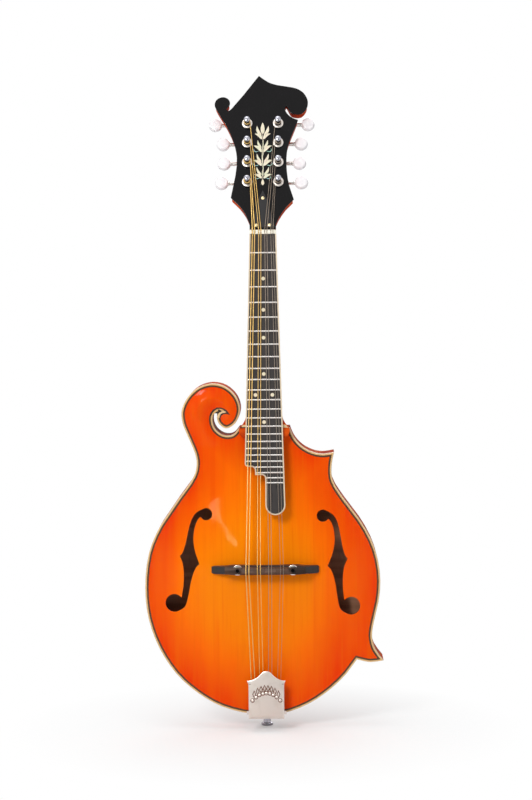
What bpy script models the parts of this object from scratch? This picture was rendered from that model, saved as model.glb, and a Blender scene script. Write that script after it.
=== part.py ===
"""F-style mandolin: body, neck, tuners, bridge, tailpiece and strings as separate solids.

Lengths are in millimetres and are turned to metres by MM where a mesh is made.
World axes: X to the viewer's right, Y to the back, Z up the neck. The origin is under the
front edge of the nut, in the plane where the rim's front edge lies.
Most pieces are drawn in a frame of (x, v, n): across, up and out to the front.
"""
import math

import bmesh
import bpy
import numpy
from mathutils import Matrix, Vector
from mathutils.geometry import delaunay_2d_cdt

MM = 0.001
GAP = 0.3
WITHIN_OUTLINE = 1

# Neck and fingerboard
SCALE_LENGTH = 352.4
NECK_ANGLE = 4.5
NUT_SURFACE = 4.0
BOARD_THICK = 5.0
BOARD_NUT_HALF = 14.3
BOARD_TAPER = 0.0265
BOARD_BINDING = 1.4
FRET_COUNT = 24
FRET_WIDTH = 2.0
FRET_HEIGHT = 0.9
NUT_LENGTH = 5.0
NUT_RISE = 2.0
NECK_DEPTH_NUT = 15.0
NECK_DEPTH_HEEL = 17.0
BODY_JOINT = -206.0
HEEL_HALF = 27.0
HEEL_FLARE = 14.0
TENON_HALF = 10.0
TENON_LENGTH = 14.0
TENON_DEPTH = 26.0
BLOCK_LENGTH = 11.0
ROD_RADIUS = 2.4
ROD_NUT_RADIUS = 3.3

# Body
RIM_DEPTH = 34.0
RIM_THICK = 2.3
LINING = 6.5
PLATE_EDGE = 4.5
TOP_ARCH = 16.0
BACK_ARCH = 13.5
PLATE_THIN = 3.4
BINDING = 3.7
TAIL_BLOCK_HALF = 30.0
TAIL_BLOCK_DEPTH = 18.0
BAR_WIDTH = 6.0
BAR_HEIGHT = 9.0

# Peghead and tuners
PEGHEAD_ANGLE = 16.0
PEG_FACE = 1.0
PEG_THICK = 13.0
VENEER = 1.5
POST_ROWS = 4
POST_FIRST = 54.6
POST_PITCH = 22.7
POST_COLUMN = 16.7
POST_RADIUS = 3.2
POST_TOP = 12.0
FLANGE_RADIUS = 5.6
FLANGE_HEIGHT = 1.0
TUNER_PLATE = 1.2
TUNER_PLATE_WIDTH = 17.0
GEAR_TEETH = 14
GEAR_RADIUS = 3.7
GEAR_WIDTH = 2.6
WORM_RADIUS = 1.7
TOOTH_HEIGHT = 0.5
TOOTH_SHARE = 0.38
SHAFT_RADIUS = 1.3
BUTTON_RADIUS = 7.0
BUTTON_THICK = 7.4
BUTTON_REACH_BASS = (44.5, 42.0, 43.0, 51.5)
BUTTON_REACH_TREBLE = (41.5, 39.5, 41.5, 49.0)

# Strings, bass to treble in pairs
COURSES = ("g", "d", "a", "e")
STRING_RADIUS = (0.51, 0.36, 0.24, 0.18)
NUT_PAIRS = (-9.85, -3.2, 3.25, 9.65)
SADDLE_PAIRS = (-18.8, -6.6, 5.4, 17.9)
TAIL_PAIRS = (-13.2, -4.9, 3.9, 12.9)
NUT_SPREAD = 1.2
SADDLE_SPREAD = 1.6
TAIL_SPREAD = 1.9
TURNS = (2, 2, 3, 3)
TURN_POINTS = 8
STRING_LIFT = 1.05

# Bridge and tailpiece
BRIDGE_V = -356.4
BRIDGE_HALF = 57.0
BRIDGE_WIDTH = 10.0
STUD_X = 29.4
STUD_RADIUS = 1.9
WHEEL_RADIUS = 5.5
WHEEL_THICK = 2.6
SADDLE_HALF = 43.0
SADDLE_TOP = 35.4
SADDLE_DEPTH = 8.0
COVER_HALF = 19.0
COVER_TOP = -465.7
COVER_LENGTH = 51.3
COVER_BOTTOM = COVER_TOP - COVER_LENGTH
COVER_FRONT = 23.0
COVER_WALL = 1.2
BASE_THICK = 1.5
HOOK_V = -508.0
END_PIN_RADIUS = 4.2
END_PIN_FLANGE = 7.3

# Body outline, seen from the front: (x, v) points that are rounded by smooth()
CORNER_TURN = 40.0
BODY_TURN = 24.0
TREBLE_SHOULDER = [(HEEL_HALF, BODY_JOINT), (31, -216), (40, -226.5), (52, -233), (63, -234.8), (74.3, -233)]
TREBLE_SIDE = [
    (74.3, -233), (71.7, -246), (72.5, -263), (85, -284), (101, -305.5), (113.5, -327.5), (120.5, -349),
    (123, -372), (121, -394), (116.3, -414), (113.7, -431), (116.8, -445), (126, -457.8),
]
POINT_EDGE = [(126, -457.8), (111, -459.6), (97.5, -456.5)]
BASS_SIDE = [
    (97.5, -456.5), (86, -472), (69.5, -488), (45, -504.5), (15, -515), (-16, -515), (-48, -507), (-74, -492),
    (-97, -471), (-115, -443), (-126, -412), (-129.5, -379), (-125, -340), (-112.3, -310.5), (-93, -282.5),
    (-75.5, -257), (-73, -240), (-79, -222), (-86.5, -204.5), (-88.6, -189), (-83, -175), (-71.3, -163.3),
    (-56.3, -158.7), (-41.5, -162), (-29.5, -173.5), (-25.8, -188), (-31.4, -201.6), (-41, -206.8),
    (-48.7, -201.6), (-50.8, -194.5), (-50.2, -191), (-52.8, -190), (-55.2, -194.5), (-55, -201.5),
    (-51.5, -208.5), (-43.5, -214), (-34, -213.6), (-HEEL_HALF, BODY_JOINT),
]
RIM_START = (-31.4, -201.6)

# Arching: the membrane's grid, and the scroll's own ridge
CELL = 3.0
SWEEPS = 260
RELAX = 1.93
RELAX_PULLED = 1.2
SCROLL_CENTRE = (-55.0, -185.0)
SCROLL_REACH = 42.0
SCROLL_RIDGE = 5.0
RIDGE_WIDTH = 6.0
PLATE_SPACING = 21.0

# Sound holes, drawn on the bass side
EYE_UPPER = (-63.1, -298.5)
EYE_LOWER = (-98.0, -394.0)
EYE_UPPER_RADIUS = 6.1
EYE_LOWER_RADIUS = 9.2
EYE_UPPER_SWEEP = (202.0, 468.0, 8)
EYE_LOWER_SWEEP = (32.0, 295.0, 9)
HOLE_OUTER = [
    (-65.3, -292.8), (-73.4, -297), (-78.5, -304.5), (-81.9, -316), (-85.2, -330.5), (-88.5, -340),
    (-91.3, -343.5), (-88.6, -350), (-87.2, -361), (-87.8, -376), (-90, -389),
]
HOLE_INNER = [
    (-94, -402.3), (-87.5, -398.5), (-84.6, -391.5), (-82.4, -381.5), (-80.7, -372), (-78.2, -363),
    (-74.7, -355.5), (-71.2, -351.8), (-75.2, -340.5), (-77.3, -329), (-77.2, -320), (-75.1, -310),
    (-72, -303.8), (-68.8, -300.8),
]
HOLE_TREBLE_TURN = -3.0
HOLE_TREBLE_SHIFT = (-1.4, -2.4)

# Rim, blocks and tone bars
LINING_HEIGHT = 9.0
HEAD_BLOCK_X = 46.0
HEAD_BLOCK_V = -240.0
PIN_N = -RIM_DEPTH / 2
TENON_FLARE = 2.0
BAR_BASS = ((-22.0, -262.0), (-36.0, -455.0))
BAR_TREBLE = ((20.0, -262.0), (38.0, -455.0))
BAR_STATIONS = 14

# Fingerboard's lower end, in (x, v) of the neck frame
BASS_END = -247.3
STEP_X = -10.0
STEP_END = -256.0
EXTENSION_X = 0.8
EXTENSION_CENTRE = -288.0
END_ROUND = 3.8
FRET_SINK = 0.4

# Neck, heel and truss rod
PEG_SLOPE = math.tan(math.radians(NECK_ANGLE + PEGHEAD_ANGLE))
PEG_COSINE = math.cos(math.radians(NECK_ANGLE + PEGHEAD_ANGLE))
SHAFT_SIDES = 10
HEEL_DEPTHS = ((-166.0, 17.0, 2.2), (-178.0, 21.0, 2.1), (-186.0, 27.5, 2.0), (-193.0, 36.0, 1.9),
               (-199.0, 45.0, 1.8))
HEEL_CAP = -RIM_DEPTH - PLATE_EDGE
PEGHEAD_SECTIONS = ((24.0, 0.6, 5.0), (16.0, 0.3, 4.0))
NECK_POWER = 2.2
REST_CLEAR = 0.5
ROD_END = -196.0
ROD_SINK = 2.4
ROD_AXIS = -BOARD_THICK - 2 * GAP - ROD_RADIUS - ROD_SINK
ROD_TIP_RADIUS = 1.8
POCKET_START = 8.0
POCKET_END = 20.0
POCKET_HALF = ROD_NUT_RADIUS + 0.8

# Peghead's edge in (x, v) of the peghead frame, and what its face carries
PEGHEAD_POINTS = [
    [(14.2, 6), (17.6, 14), (25, 25.5), (33.2, 34)],
    [(33.2, 34), (28.3, 50), (26, 66), (25.6, 82), (27.2, 95), (31, 107), (35.5, 118.5), (38.3, 126.3)],
    [(38.3, 126.3), (33, 128.3), (27.3, 133), (24.2, 139), (25.7, 143.2)],
    [(25.7, 143.2), (30.5, 134.8), (37, 132.8), (42.5, 133.8), (47.8, 140), (49, 148.5), (44.5, 158),
     (37, 163.3), (28, 165.5), (15.8, 167.7), (6, 171.3), (-4, 178.8)],
    [(-4, 178.8), (-33.9, 139.8), (-37.4, 137.6), (-39.4, 139.8)],
    [(-39.4, 139.8), (-35.3, 145.5), (-37, 151.3), (-42.7, 153.9), (-49.3, 151.4), (-52, 145), (-48.8, 137),
     (-39.3, 120), (-31.2, 100.5), (-27.8, 82), (-29.3, 62), (-34.2, 36.5)],
    [(-34.2, 36.5), (-25.5, 27.5), (-18.5, 17), (-14.2, 6)],
]
PEGHEAD_FOOT = 2.0
PEGHEAD_TURN = 28.0
HOLE_SIDES = 8
FLANGE_SINK = 1.1
COVER_POINTS = [(12.6, 1.6), (12.2, 6), (9.4, 14), (7.2, 23), (5.9, 31), (3.6, 36), (0, 44)]
COVER_THICK = 1.2
ROD_WINDOW = (3.0, 16.0)

# Nut
NUT_BACK_DROP = 1.0

# Tuners: worms, gears, posts and their plates
PLATE_BACK = -PEG_THICK - GAP - TUNER_PLATE
TIP_HEIGHT = TOOTH_HEIGHT
ROOT_DEPTH = TOOTH_HEIGHT + GAP
GEAR_N = PLATE_BACK - 1.5 * GAP - WORM_RADIUS - TIP_HEIGHT
WORM_RISE = GEAR_RADIUS + WORM_RADIUS
PITCH = 2.0 * math.pi * GEAR_RADIUS / GEAR_TEETH
LEAD_TANGENT = PITCH / (2.0 * math.pi * WORM_RADIUS)
PRESSURE_ANGLE = 20.0
FLANK = math.tan(math.radians(PRESSURE_ANGLE))
THREAD_TURNS = 2
THREAD_SIDES = 8
THREAD_HALF = PITCH * (THREAD_TURNS + 1) / 2
EAR = 1.3
EAR_INNER = GEAR_RADIUS + TIP_HEIGHT + GAP
SHOULDER_RADIUS = 1.9
BORE_SIDES = 6
EAR_HALF = 3.1
EAR_DEPTH = 2.6
PLATE_BELOW = 9.0
PLATE_ABOVE = 13.0
COLLAR_RADIUS = 2.2
COLLAR_LENGTH = 2.6
SHAFT_SEAT = 5.0
JOURNAL_END = 0.6
WAIST_RADIUS = 2.5
WAIST_LOW = 2.2
WINDING_LOW = 3.2
WINDING_GAP = 0.5
HOLE_RADIUS = 0.85
POST_SIDES = GEAR_TEETH

# Bridge foot, wheels and saddle
BASE_TOP = 25.0
WHEEL_BASE = BASE_TOP + GAP
SADDLE_BASE = WHEEL_BASE + WHEEL_THICK + GAP
STUD_SINK = 5.0
STUD_RISE = 5.5
FOOT_GAP = 20.0
FOOT_ARCH = 2.0
BASE_END_HEIGHT = 3.0
BASE_STATIONS = 24
RIDGE_OFFSETS = (-1.6, 1.1, -1.2, 1.5)
CROWN_HALF = 23.5
WING_DROP = 2.6
WING_END = 4.6
WHEEL_SIDES = 18

# Tailpiece and end pin
HOOK_BASE = 9.5
BASE_HALF = 16.6
BASE_START = -480.0
BASE_DROP = -28.0
LUG_HALF = 21.3
LUG_LENGTH = 3.6
HOOK_RADIUS = 0.9
HOOK_TOP = 4.6
HOOK_STRING = 2.3
HOOK_STAGGER = 5.5
COVER_RIM = HOOK_BASE + BASE_THICK + GAP + 0.1
COVER_CROWN = 1.4
COVER_WALL_START = 14.5
COVER_EDGE = [(0, 0), (2.6, -0.2), (5.4, -3.6), (9, -5.4), (15, -7.0), (20.6, -9.8), (19.2, -13.6),
              (COVER_HALF, -19)]
PIN_NECK = 3.4
PIN_STEM = 17.0
PIN_LENGTH = 13.8
PIN_HEAD = 3.8
PIN_BORE = 30.0

# Loops of the strings on their hooks
LOOP_START = 40.0
LOOP_END = -220.0
LOOP_STEPS = 5


def frame(v_angle, origin):
    """Matrix from (x, v, n) to the world for a plane leaning back by v_angle degrees."""
    lean = math.radians(v_angle)
    up = Vector((0.0, math.sin(lean), math.cos(lean)))
    out = Vector((0.0, -math.cos(lean), math.sin(lean)))
    matrix = Matrix.Identity(4)
    for row in range(3):
        matrix[row][0] = (1.0, 0.0, 0.0)[row]
        matrix[row][1] = up[row]
        matrix[row][2] = out[row]
        matrix[row][3] = origin[row]
    return matrix


BODY = frame(0.0, (0.0, 0.0, 0.0))
NECK = frame(NECK_ANGLE, (0.0, -NUT_SURFACE, 0.0))
PEGHEAD = frame(NECK_ANGLE + PEGHEAD_ANGLE, (0.0, -PEG_FACE, NUT_LENGTH + GAP))
NECK_SLOPE = math.tan(math.radians(NECK_ANGLE))
MATERIALS = {}


def material(name, colour, roughness, metallic=0.0):
    """A Principled material, made once for each name."""
    if name not in MATERIALS:
        made = bpy.data.materials.new(name)
        made.use_nodes = True
        shader = made.node_tree.nodes["Principled BSDF"]
        shader.inputs["Base Color"].default_value = (*colour, 1.0)
        shader.inputs["Roughness"].default_value = roughness
        shader.inputs["Metallic"].default_value = metallic
        MATERIALS[name] = made
    return MATERIALS[name]


def sunburst():
    """Sprayed spruce of the top."""
    return material("sunburst_spruce", (0.85, 0.23, 0.02), 0.2)


def red_maple():
    """Red maple of the back, rim and neck."""
    return material("red_maple", (0.45, 0.06, 0.02), 0.2)


def bare_maple():
    """Unfinished maple of the blocks."""
    return material("bare_maple", (0.62, 0.42, 0.24), 0.6)


def bare_spruce():
    """Unfinished spruce of the tone bars."""
    return material("bare_spruce", (0.75, 0.55, 0.33), 0.6)


def ebony():
    """Fingerboard and bridge foot."""
    return material("ebony", (0.02, 0.018, 0.017), 0.4)


def black_gloss():
    """Lacquered peghead face and rod cover."""
    return material("black_gloss", (0.012, 0.011, 0.012), 0.15)


def cream():
    """Binding."""
    return material("cream_binding", (0.82, 0.7, 0.5), 0.35)


def bone():
    """Nut."""
    return material("bone", (0.9, 0.85, 0.72), 0.4)


def pearloid():
    """Tuner buttons."""
    return material("pearloid", (0.88, 0.87, 0.84), 0.25)


def nickel():
    """Plated metal."""
    return material("nickel", (0.75, 0.73, 0.7), 0.25, 1.0)


def steel():
    """Plain strings, studs and the truss rod."""
    return material("string_steel", (0.6, 0.6, 0.6), 0.3, 1.0)


def bronze():
    """Wound strings."""
    return material("wound_bronze", (0.72, 0.45, 0.18), 0.35, 1.0)


def rosewood():
    """Saddle."""
    return material("rosewood", (0.2, 0.09, 0.045), 0.45)


def place(name, bm, finish, place_in=BODY, origin=(0.0, 0.0, 0.0)):
    """Make the object from millimetre geometry in a frame; origin is its turning point in the frame."""
    bm.transform(place_in)
    pivot = place_in @ Vector(origin)
    bm.transform(Matrix.Translation(-pivot))
    bm.transform(Matrix.Scale(MM, 4))
    bmesh.ops.remove_doubles(bm, verts=bm.verts, dist=0.00001)
    bmesh.ops.dissolve_degenerate(bm, edges=bm.edges, dist=0.00001)
    bmesh.ops.recalc_face_normals(bm, faces=bm.faces)
    mesh = bpy.data.meshes.new(name)
    bm.to_mesh(mesh)
    bm.free()
    mesh.materials.append(finish)
    mesh.shade_smooth()
    mesh.set_sharp_from_angle(angle=math.radians(35.0))
    made = bpy.data.objects.new(name, mesh)
    made.location = pivot * MM
    bpy.context.scene.collection.objects.link(made)
    return made


def combine(target, tools, operation):
    """Cut or join tools to the target by Boolean modifiers; the tools become hidden guides."""
    for tool in tools:
        step = target.modifiers.new(operation.lower() + "_" + tool.name, "BOOLEAN")
        step.operation = operation
        step.solver = "EXACT"
        step.object = tool
        tool.display_type = "WIRE"
        tool.hide_render = True


def loft(rings, closed=False, caps=True, bm=None):
    """Skin a run of equal rings; closed joins the last ring to the first."""
    bm = bm or bmesh.new()
    made = [[bm.verts.new(point) for point in ring] for ring in rings]
    count = len(made[0])
    spans = list(zip(made, made[1:]))
    if closed:
        spans.append((made[-1], made[0]))
    for low, high in spans:
        for i in range(count):
            j = (i + 1) % count
            bm.faces.new((low[i], low[j], high[j], high[i]))
    if caps and not closed:
        bm.faces.new(reversed(made[0]))
        bm.faces.new(made[-1])
    return bm


def lathe(profile, centre, axis, segments, bm=None, start=0.0):
    """Turn (radius, distance along axis) pairs round an axis; both ends are closed."""
    axis = Vector(axis).normalized()
    side = axis.orthogonal().normalized()
    other = axis.cross(side)
    rings = []
    for radius, along in profile:
        ring = []
        for i in range(segments):
            angle = start + 2.0 * math.pi * i / segments
            reach = side * math.cos(angle) + other * math.sin(angle)
            ring.append(Vector(centre) + axis * along + reach * radius)
        rings.append(ring)
    return loft(rings, bm=bm)


def tube(profile, bore, centre, axis, segments):
    """Turn a profile round an axis with a straight bore through it."""
    first = profile[0][1]
    last = profile[-1][1]
    loop = list(profile) + [(bore, last), (bore, first)]
    axis = Vector(axis).normalized()
    side = axis.orthogonal().normalized()
    other = axis.cross(side)
    rings = []
    for i in range(segments):
        angle = 2.0 * math.pi * i / segments
        reach = side * math.cos(angle) + other * math.sin(angle)
        rings.append([Vector(centre) + axis * along + reach * radius for radius, along in loop])
    return loft(rings, closed=True)


def flat(height):
    """A level surface for slab."""
    return lambda x, v: height


def inside_of(point, loop):
    """Whether a point lies inside a closed outline."""
    x, v = point
    found = False
    for a, b in zip(loop, loop[1:] + loop[:1]):
        if (a[1] > v) != (b[1] > v) and x < a[0] + (v - a[1]) * (b[0] - a[0]) / (b[1] - a[1]):
            found = not found
    return found


def slab(outline, holes, front, back, inside=()):
    """Fill an outline less its holes, and give it a front and a back surface and walls."""
    loops = [outline] + list(holes)
    points = []
    edges = []
    for loop in loops:
        base = len(points)
        points += [Vector(p) for p in loop]
        edges += [(base + i, base + (i + 1) % len(loop)) for i in range(len(loop))]
    points += [Vector(p) for p in inside]
    verts, _, faces, *_ = delaunay_2d_cdt(points, edges, [], WITHIN_OUTLINE, 0.0001)
    bm = bmesh.new()
    fronts = [bm.verts.new((p.x, p.y, front(p.x, p.y))) for p in verts]
    backs = [bm.verts.new((p.x, p.y, back(p.x, p.y))) for p in verts]
    sides = {}
    for face in faces:
        middle = sum((verts[i] for i in face), Vector((0.0, 0.0))) / len(face)
        if any(inside_of(middle, hole) for hole in holes):
            continue
        bm.faces.new([fronts[i] for i in face])
        bm.faces.new([backs[i] for i in reversed(face)])
        for i, j in zip(face, face[1:] + face[:1]):
            sides[(i, j)] = sides.get((i, j), 0) + 1
    for i, j in sides:
        if (j, i) not in sides:
            bm.faces.new((fronts[j], fronts[i], backs[i], backs[j]))
    loose = [v for v in bm.verts if not v.link_faces]
    bmesh.ops.delete(bm, geom=loose, context="VERTS")
    return bm


def box(low, high):
    """A block between two corners."""
    ring = [(low[0], low[1]), (high[0], low[1]), (high[0], high[1]), (low[0], high[1])]
    return loft([[(x, v, n) for x, v in ring] for n in (low[2], high[2])])


def clear_of(radius, segments):
    """Corner radius of a many-sided bore whose flats lie one gap outside a round pin."""
    return (radius + GAP) / math.cos(math.pi / segments)


def circle(x, v, radius, segments):
    """Points of a circle, anticlockwise."""
    turn = 2.0 * math.pi / segments
    return [(x + radius * math.cos(turn * i), v + radius * math.sin(turn * i)) for i in range(segments)]


def smooth(points, turn=20.0):
    """A centripetal Catmull-Rom curve through points, with one step for each turn of so many degrees."""
    pts = [Vector(p) for p in points]
    pts = [pts[0] * 2 - pts[1]] + pts + [pts[-1] * 2 - pts[-2]]
    made = []
    for a, b, c, d in zip(pts, pts[1:], pts[2:], pts[3:]):
        knots = [0.0]
        for p, q in ((a, b), (b, c), (c, d)):
            knots.append(knots[-1] + math.sqrt((q - p).length))
        t0, t1, t2, t3 = knots

        def at(t):
            ab = a * ((t1 - t) / (t1 - t0)) + b * ((t - t0) / (t1 - t0))
            bc = b * ((t2 - t) / (t2 - t1)) + c * ((t - t1) / (t2 - t1))
            cd = c * ((t3 - t) / (t3 - t2)) + d * ((t - t2) / (t3 - t2))
            left = ab * ((t2 - t) / (t2 - t0)) + bc * ((t - t0) / (t2 - t0))
            right = bc * ((t3 - t) / (t3 - t1)) + cd * ((t - t1) / (t3 - t1))
            return left * ((t2 - t) / (t2 - t1)) + right * ((t - t1) / (t2 - t1))

        small = (t2 - t1) * 0.02
        bend = (at(t1 + small) - at(t1)).angle(at(t2) - at(t2 - small), 0.0)
        steps = max(1, math.ceil(math.degrees(bend) / turn))
        made += [at(t1 + (t2 - t1) * i / steps) for i in range(steps)]
    made.append(pts[-2])
    return [tuple(p) for p in made]


def offset(points, distance, ends=False):
    """Move a closed anticlockwise outline in by a distance, point for point, with mitred corners.

    With ends, the first and last points are ends of an open run and keep their own edge's normal.
    """
    count = len(points)
    moved = []
    for i in range(count):
        here = Vector(points[i])
        before = here - Vector(points[i - 1])
        after = Vector(points[(i + 1) % count]) - here
        if ends and i == 0:
            before = after
        if ends and i == count - 1:
            after = before
        left = Vector((-before.y, before.x)).normalized()
        right = Vector((-after.y, after.x)).normalized()
        mean = (left + right).normalized()
        moved.append(tuple(here + mean * distance / max(mean.dot(left), 0.35)))
    return moved


def clearance(point, loop):
    """Distance from a point to a closed outline."""
    here = Vector(point)
    nearest = 1e9
    for i in range(len(loop)):
        start = Vector(loop[i - 1])
        run = Vector(loop[i]) - start
        along = max(0.0, min(1.0, (here - start).dot(run) / run.length_squared))
        nearest = min(nearest, (start + run * along - here).length)
    return nearest


def inset(points, distance):
    """Offset of a closed outline; points that a sharp corner swallows gather on that corner's own point."""
    moved = offset(points, distance)
    corners = []
    for i in range(len(points)):
        before = Vector(points[i]) - Vector(points[i - 1])
        after = Vector(points[(i + 1) % len(points)]) - Vector(points[i])
        if math.degrees(before.angle(after)) > CORNER_TURN:
            corners.append(i)
    for i in range(len(points)):
        if i not in corners and clearance(moved[i], points) < distance * 0.97:
            moved[i] = moved[min(corners, key=lambda c: abs(c - i))]
    return moved


def body_outline():
    """The body's edge, anticlockwise from the bass side of the neck joint round to the treble side."""
    runs = [smooth(run, BODY_TURN) for run in (TREBLE_SHOULDER, TREBLE_SIDE, POINT_EDGE, BASS_SIDE)]
    points = []
    for run in runs:
        points += run[:-1]
    points.append(runs[-1][-1])
    return points[::-1]


OUTLINE = body_outline()
PLATE_OUTLINE = inset(OUTLINE, BINDING + GAP)
BODY_END = min(p[1] for p in OUTLINE)


def membrane(inside, pull):
    """Solve a sheet held at the outline and loaded evenly, with an even pull back to zero."""
    sheet = numpy.zeros(inside.shape)
    rows, columns = numpy.indices(inside.shape)
    weight = 4.0 + pull * CELL * CELL
    over = RELAX_PULLED if pull > 0.0 else RELAX
    for _ in range(SWEEPS):
        for colour in (0, 1):
            near = numpy.zeros(inside.shape)
            near[1:-1, 1:-1] = sheet[2:, 1:-1] + sheet[:-2, 1:-1] + sheet[1:-1, 2:] + sheet[1:-1, :-2]
            target = (near + CELL * CELL) / weight
            chosen = inside & ((rows + columns) % 2 == colour)
            sheet[chosen] += over * (target - sheet)[chosen]
    return sheet


class Arch:
    """Height of the carved surface over the flat edge, as a share from 0 to 1, with the scroll's ridge."""

    def __init__(self, loop):
        xs = [p[0] for p in loop]
        vs = [p[1] for p in loop]
        self.x0 = min(xs) - 2 * CELL
        self.v0 = min(vs) - 2 * CELL
        columns = int((max(xs) - self.x0) / CELL) + 4
        rows = int((max(vs) - self.v0) / CELL) + 4
        grid_v, grid_x = numpy.indices((rows, columns)) * CELL
        grid_x = grid_x + self.x0
        grid_v = grid_v + self.v0
        inside = numpy.zeros(grid_x.shape, bool)
        for a, b in zip(loop, loop[1:] + loop[:1]):
            if a[1] != b[1]:
                crosses = (grid_v < max(a[1], b[1])) & (grid_v >= min(a[1], b[1]))
                inside ^= crosses & (grid_x < a[0] + (grid_v - a[1]) * (b[0] - a[0]) / (b[1] - a[1]))
        sheet = membrane(inside, 0.0)
        share = numpy.clip(sheet / sheet.max(), 0.0, 1.0)
        self.share = 0.5 + 0.5 * numpy.cos(math.pi * numpy.sqrt(1.0 - share))
        pull = 1.0 / RIDGE_WIDTH ** 2
        ridge = membrane(inside, pull) * pull
        away = numpy.hypot(grid_x - SCROLL_CENTRE[0], grid_v - SCROLL_CENTRE[1]) / SCROLL_REACH
        fade = numpy.clip(1.6 - 1.6 * away, 0.0, 1.0)
        self.ridge = ridge ** 2 * fade * fade * (3.0 - 2.0 * fade)

    def read(self, field, x, v):
        """Value of a field between its cells."""
        column = (x - self.x0) / CELL
        row = (v - self.v0) / CELL
        i = min(max(int(row), 0), field.shape[0] - 2)
        j = min(max(int(column), 0), field.shape[1] - 2)
        a = row - i
        b = column - j
        low = field[i, j] * (1 - b) + field[i, j + 1] * b
        high = field[i + 1, j] * (1 - b) + field[i + 1, j + 1] * b
        return float(low * (1 - a) + high * a)

    def rise(self, x, v, height):
        return self.read(self.share, x, v) * height + self.read(self.ridge, x, v) * SCROLL_RIDGE


ARCH = Arch(PLATE_OUTLINE)


def top_front(x, v):
    """Front of the carved top."""
    return PLATE_EDGE + ARCH.rise(x, v, TOP_ARCH - PLATE_EDGE)


def thinning(x, v, height):
    """How much thinner than the edge the plate is inside it."""
    return (PLATE_EDGE - GAP - PLATE_THIN) * min(1.0, ARCH.rise(x, v, height) / 3.0)


def top_back(x, v):
    """Inner face of the top."""
    return GAP + ARCH.rise(x, v, TOP_ARCH - PLATE_EDGE) + thinning(x, v, TOP_ARCH)


def back_outer(x, v):
    """Outer face of the carved back."""
    return -RIM_DEPTH - PLATE_EDGE - ARCH.rise(x, v, BACK_ARCH - PLATE_EDGE)


def back_inner(x, v):
    """Inner face of the back."""
    return -RIM_DEPTH - GAP - ARCH.rise(x, v, BACK_ARCH - PLATE_EDGE) - thinning(x, v, BACK_ARCH)


def filling(loop, holes=()):
    """Evenly spaced points inside the outline, clear of its edge and of the holes."""
    made = []
    step = PLATE_SPACING
    row = 0
    v = min(p[1] for p in loop) + step / 2
    while v < max(p[1] for p in loop):
        x = min(p[0] for p in loop) + (step / 2 if row % 2 else 0.0)
        while x < max(p[0] for p in loop):
            clear = all(clearance((x, v), hole) > step * 0.4 for hole in holes)
            if clear and clearance((x, v), loop) > step * 0.4:
                made.append((x, v))
            x += step
        v += step * 0.87
        row += 1
    return made


def sweep(centre, radius, start, end, steps):
    """Points of an arc between two angles in degrees, without its ends."""
    made = []
    for i in range(1, steps):
        angle = math.radians(start + (end - start) * i / steps)
        made.append((centre[0] + radius * math.cos(angle), centre[1] + radius * math.sin(angle)))
    return made


def sound_hole(treble):
    """The f-shaped hole: upper eye, outer edge, lower eye, inner edge."""
    loop = sweep(EYE_UPPER, EYE_UPPER_RADIUS, *EYE_UPPER_SWEEP)
    loop += HOLE_OUTER
    loop += sweep(EYE_LOWER, EYE_LOWER_RADIUS, *EYE_LOWER_SWEEP)
    loop += HOLE_INNER
    if not treble:
        return loop
    turn = Matrix.Rotation(math.radians(HOLE_TREBLE_TURN), 2)
    made = []
    for x, v in loop:
        arm = turn @ Vector((EYE_UPPER[0] - x, v - EYE_UPPER[1]))
        made.append((-EYE_UPPER[0] + HOLE_TREBLE_SHIFT[0] + arm.x,
                     EYE_UPPER[1] + HOLE_TREBLE_SHIFT[1] + arm.y))
    return made


def make_plates():
    """Carved top with its two sound holes, and carved back."""
    holes = [sound_hole(False), sound_hole(True)]
    top_inside = [p for p in filling(PLATE_OUTLINE, holes) if inside_of(p, PLATE_OUTLINE)]
    top_inside = [p for p in top_inside if not any(inside_of(p, hole) for hole in holes)]
    place("top_plate", slab(PLATE_OUTLINE, holes, top_front, top_back, top_inside), sunburst())
    back_inside = [p for p in filling(PLATE_OUTLINE) if inside_of(p, PLATE_OUTLINE)]
    place("back_plate", slab(PLATE_OUTLINE, [], back_inner, back_outer, back_inside), red_maple())


def make_bindings():
    """Cream strips let into the edges of both plates."""
    inner = inset(OUTLINE, BINDING)
    for name, low, high in (
        ("top_binding", GAP, PLATE_EDGE),
        ("back_binding", -RIM_DEPTH - PLATE_EDGE, -RIM_DEPTH - GAP),
    ):
        rings = []
        for (x, v), (a, b) in zip(OUTLINE, inner):
            rings.append([(x, v, low), (x, v, high), (a, b, high), (a, b, low)])
        place(name, loft(rings, closed=True), cream())


def nearest_index(point):
    """Index of the outline's point nearest to a point."""
    return min(range(len(OUTLINE)), key=lambda i: (Vector(OUTLINE[i]) - Vector(point)).length)


def by_tail(index):
    """Whether a point of the outline, or its neighbour, lies over the tail block."""
    near = [OUTLINE[index - 1], OUTLINE[index], OUTLINE[(index + 1) % len(OUTLINE)]]
    return any(abs(x) < TAIL_BLOCK_HALF and v < BODY_END + TAIL_BLOCK_DEPTH for x, v in near)


def make_rim():
    """The bent strip from the curl of the scroll round to the treble side of the neck, with its linings."""
    first = nearest_index(RIM_START)
    thin = inset(OUTLINE, RIM_THICK)
    lined = inset(OUTLINE, LINING)
    rings = []
    for i in range(first, len(OUTLINE)):
        x, v = OUTLINE[i]
        by_head = v >= HEAD_BLOCK_V and x < HEAD_BLOCK_X + 4.0
        wide = thin[i] if by_head or by_tail(i) else lined[i]
        inner = [(*wide, 0.0), (*thin[i], -LINING_HEIGHT)]
        lower = [(a, b, -RIM_DEPTH - n) for a, b, n in reversed(inner)]
        rings.append([(x, v, 0.0)] + inner + lower + [(x, v, -RIM_DEPTH)])
    rim = place("rim", loft(rings), red_maple())
    combine(rim, [bore_cutter("rim_pin_bore")], "DIFFERENCE")


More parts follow.
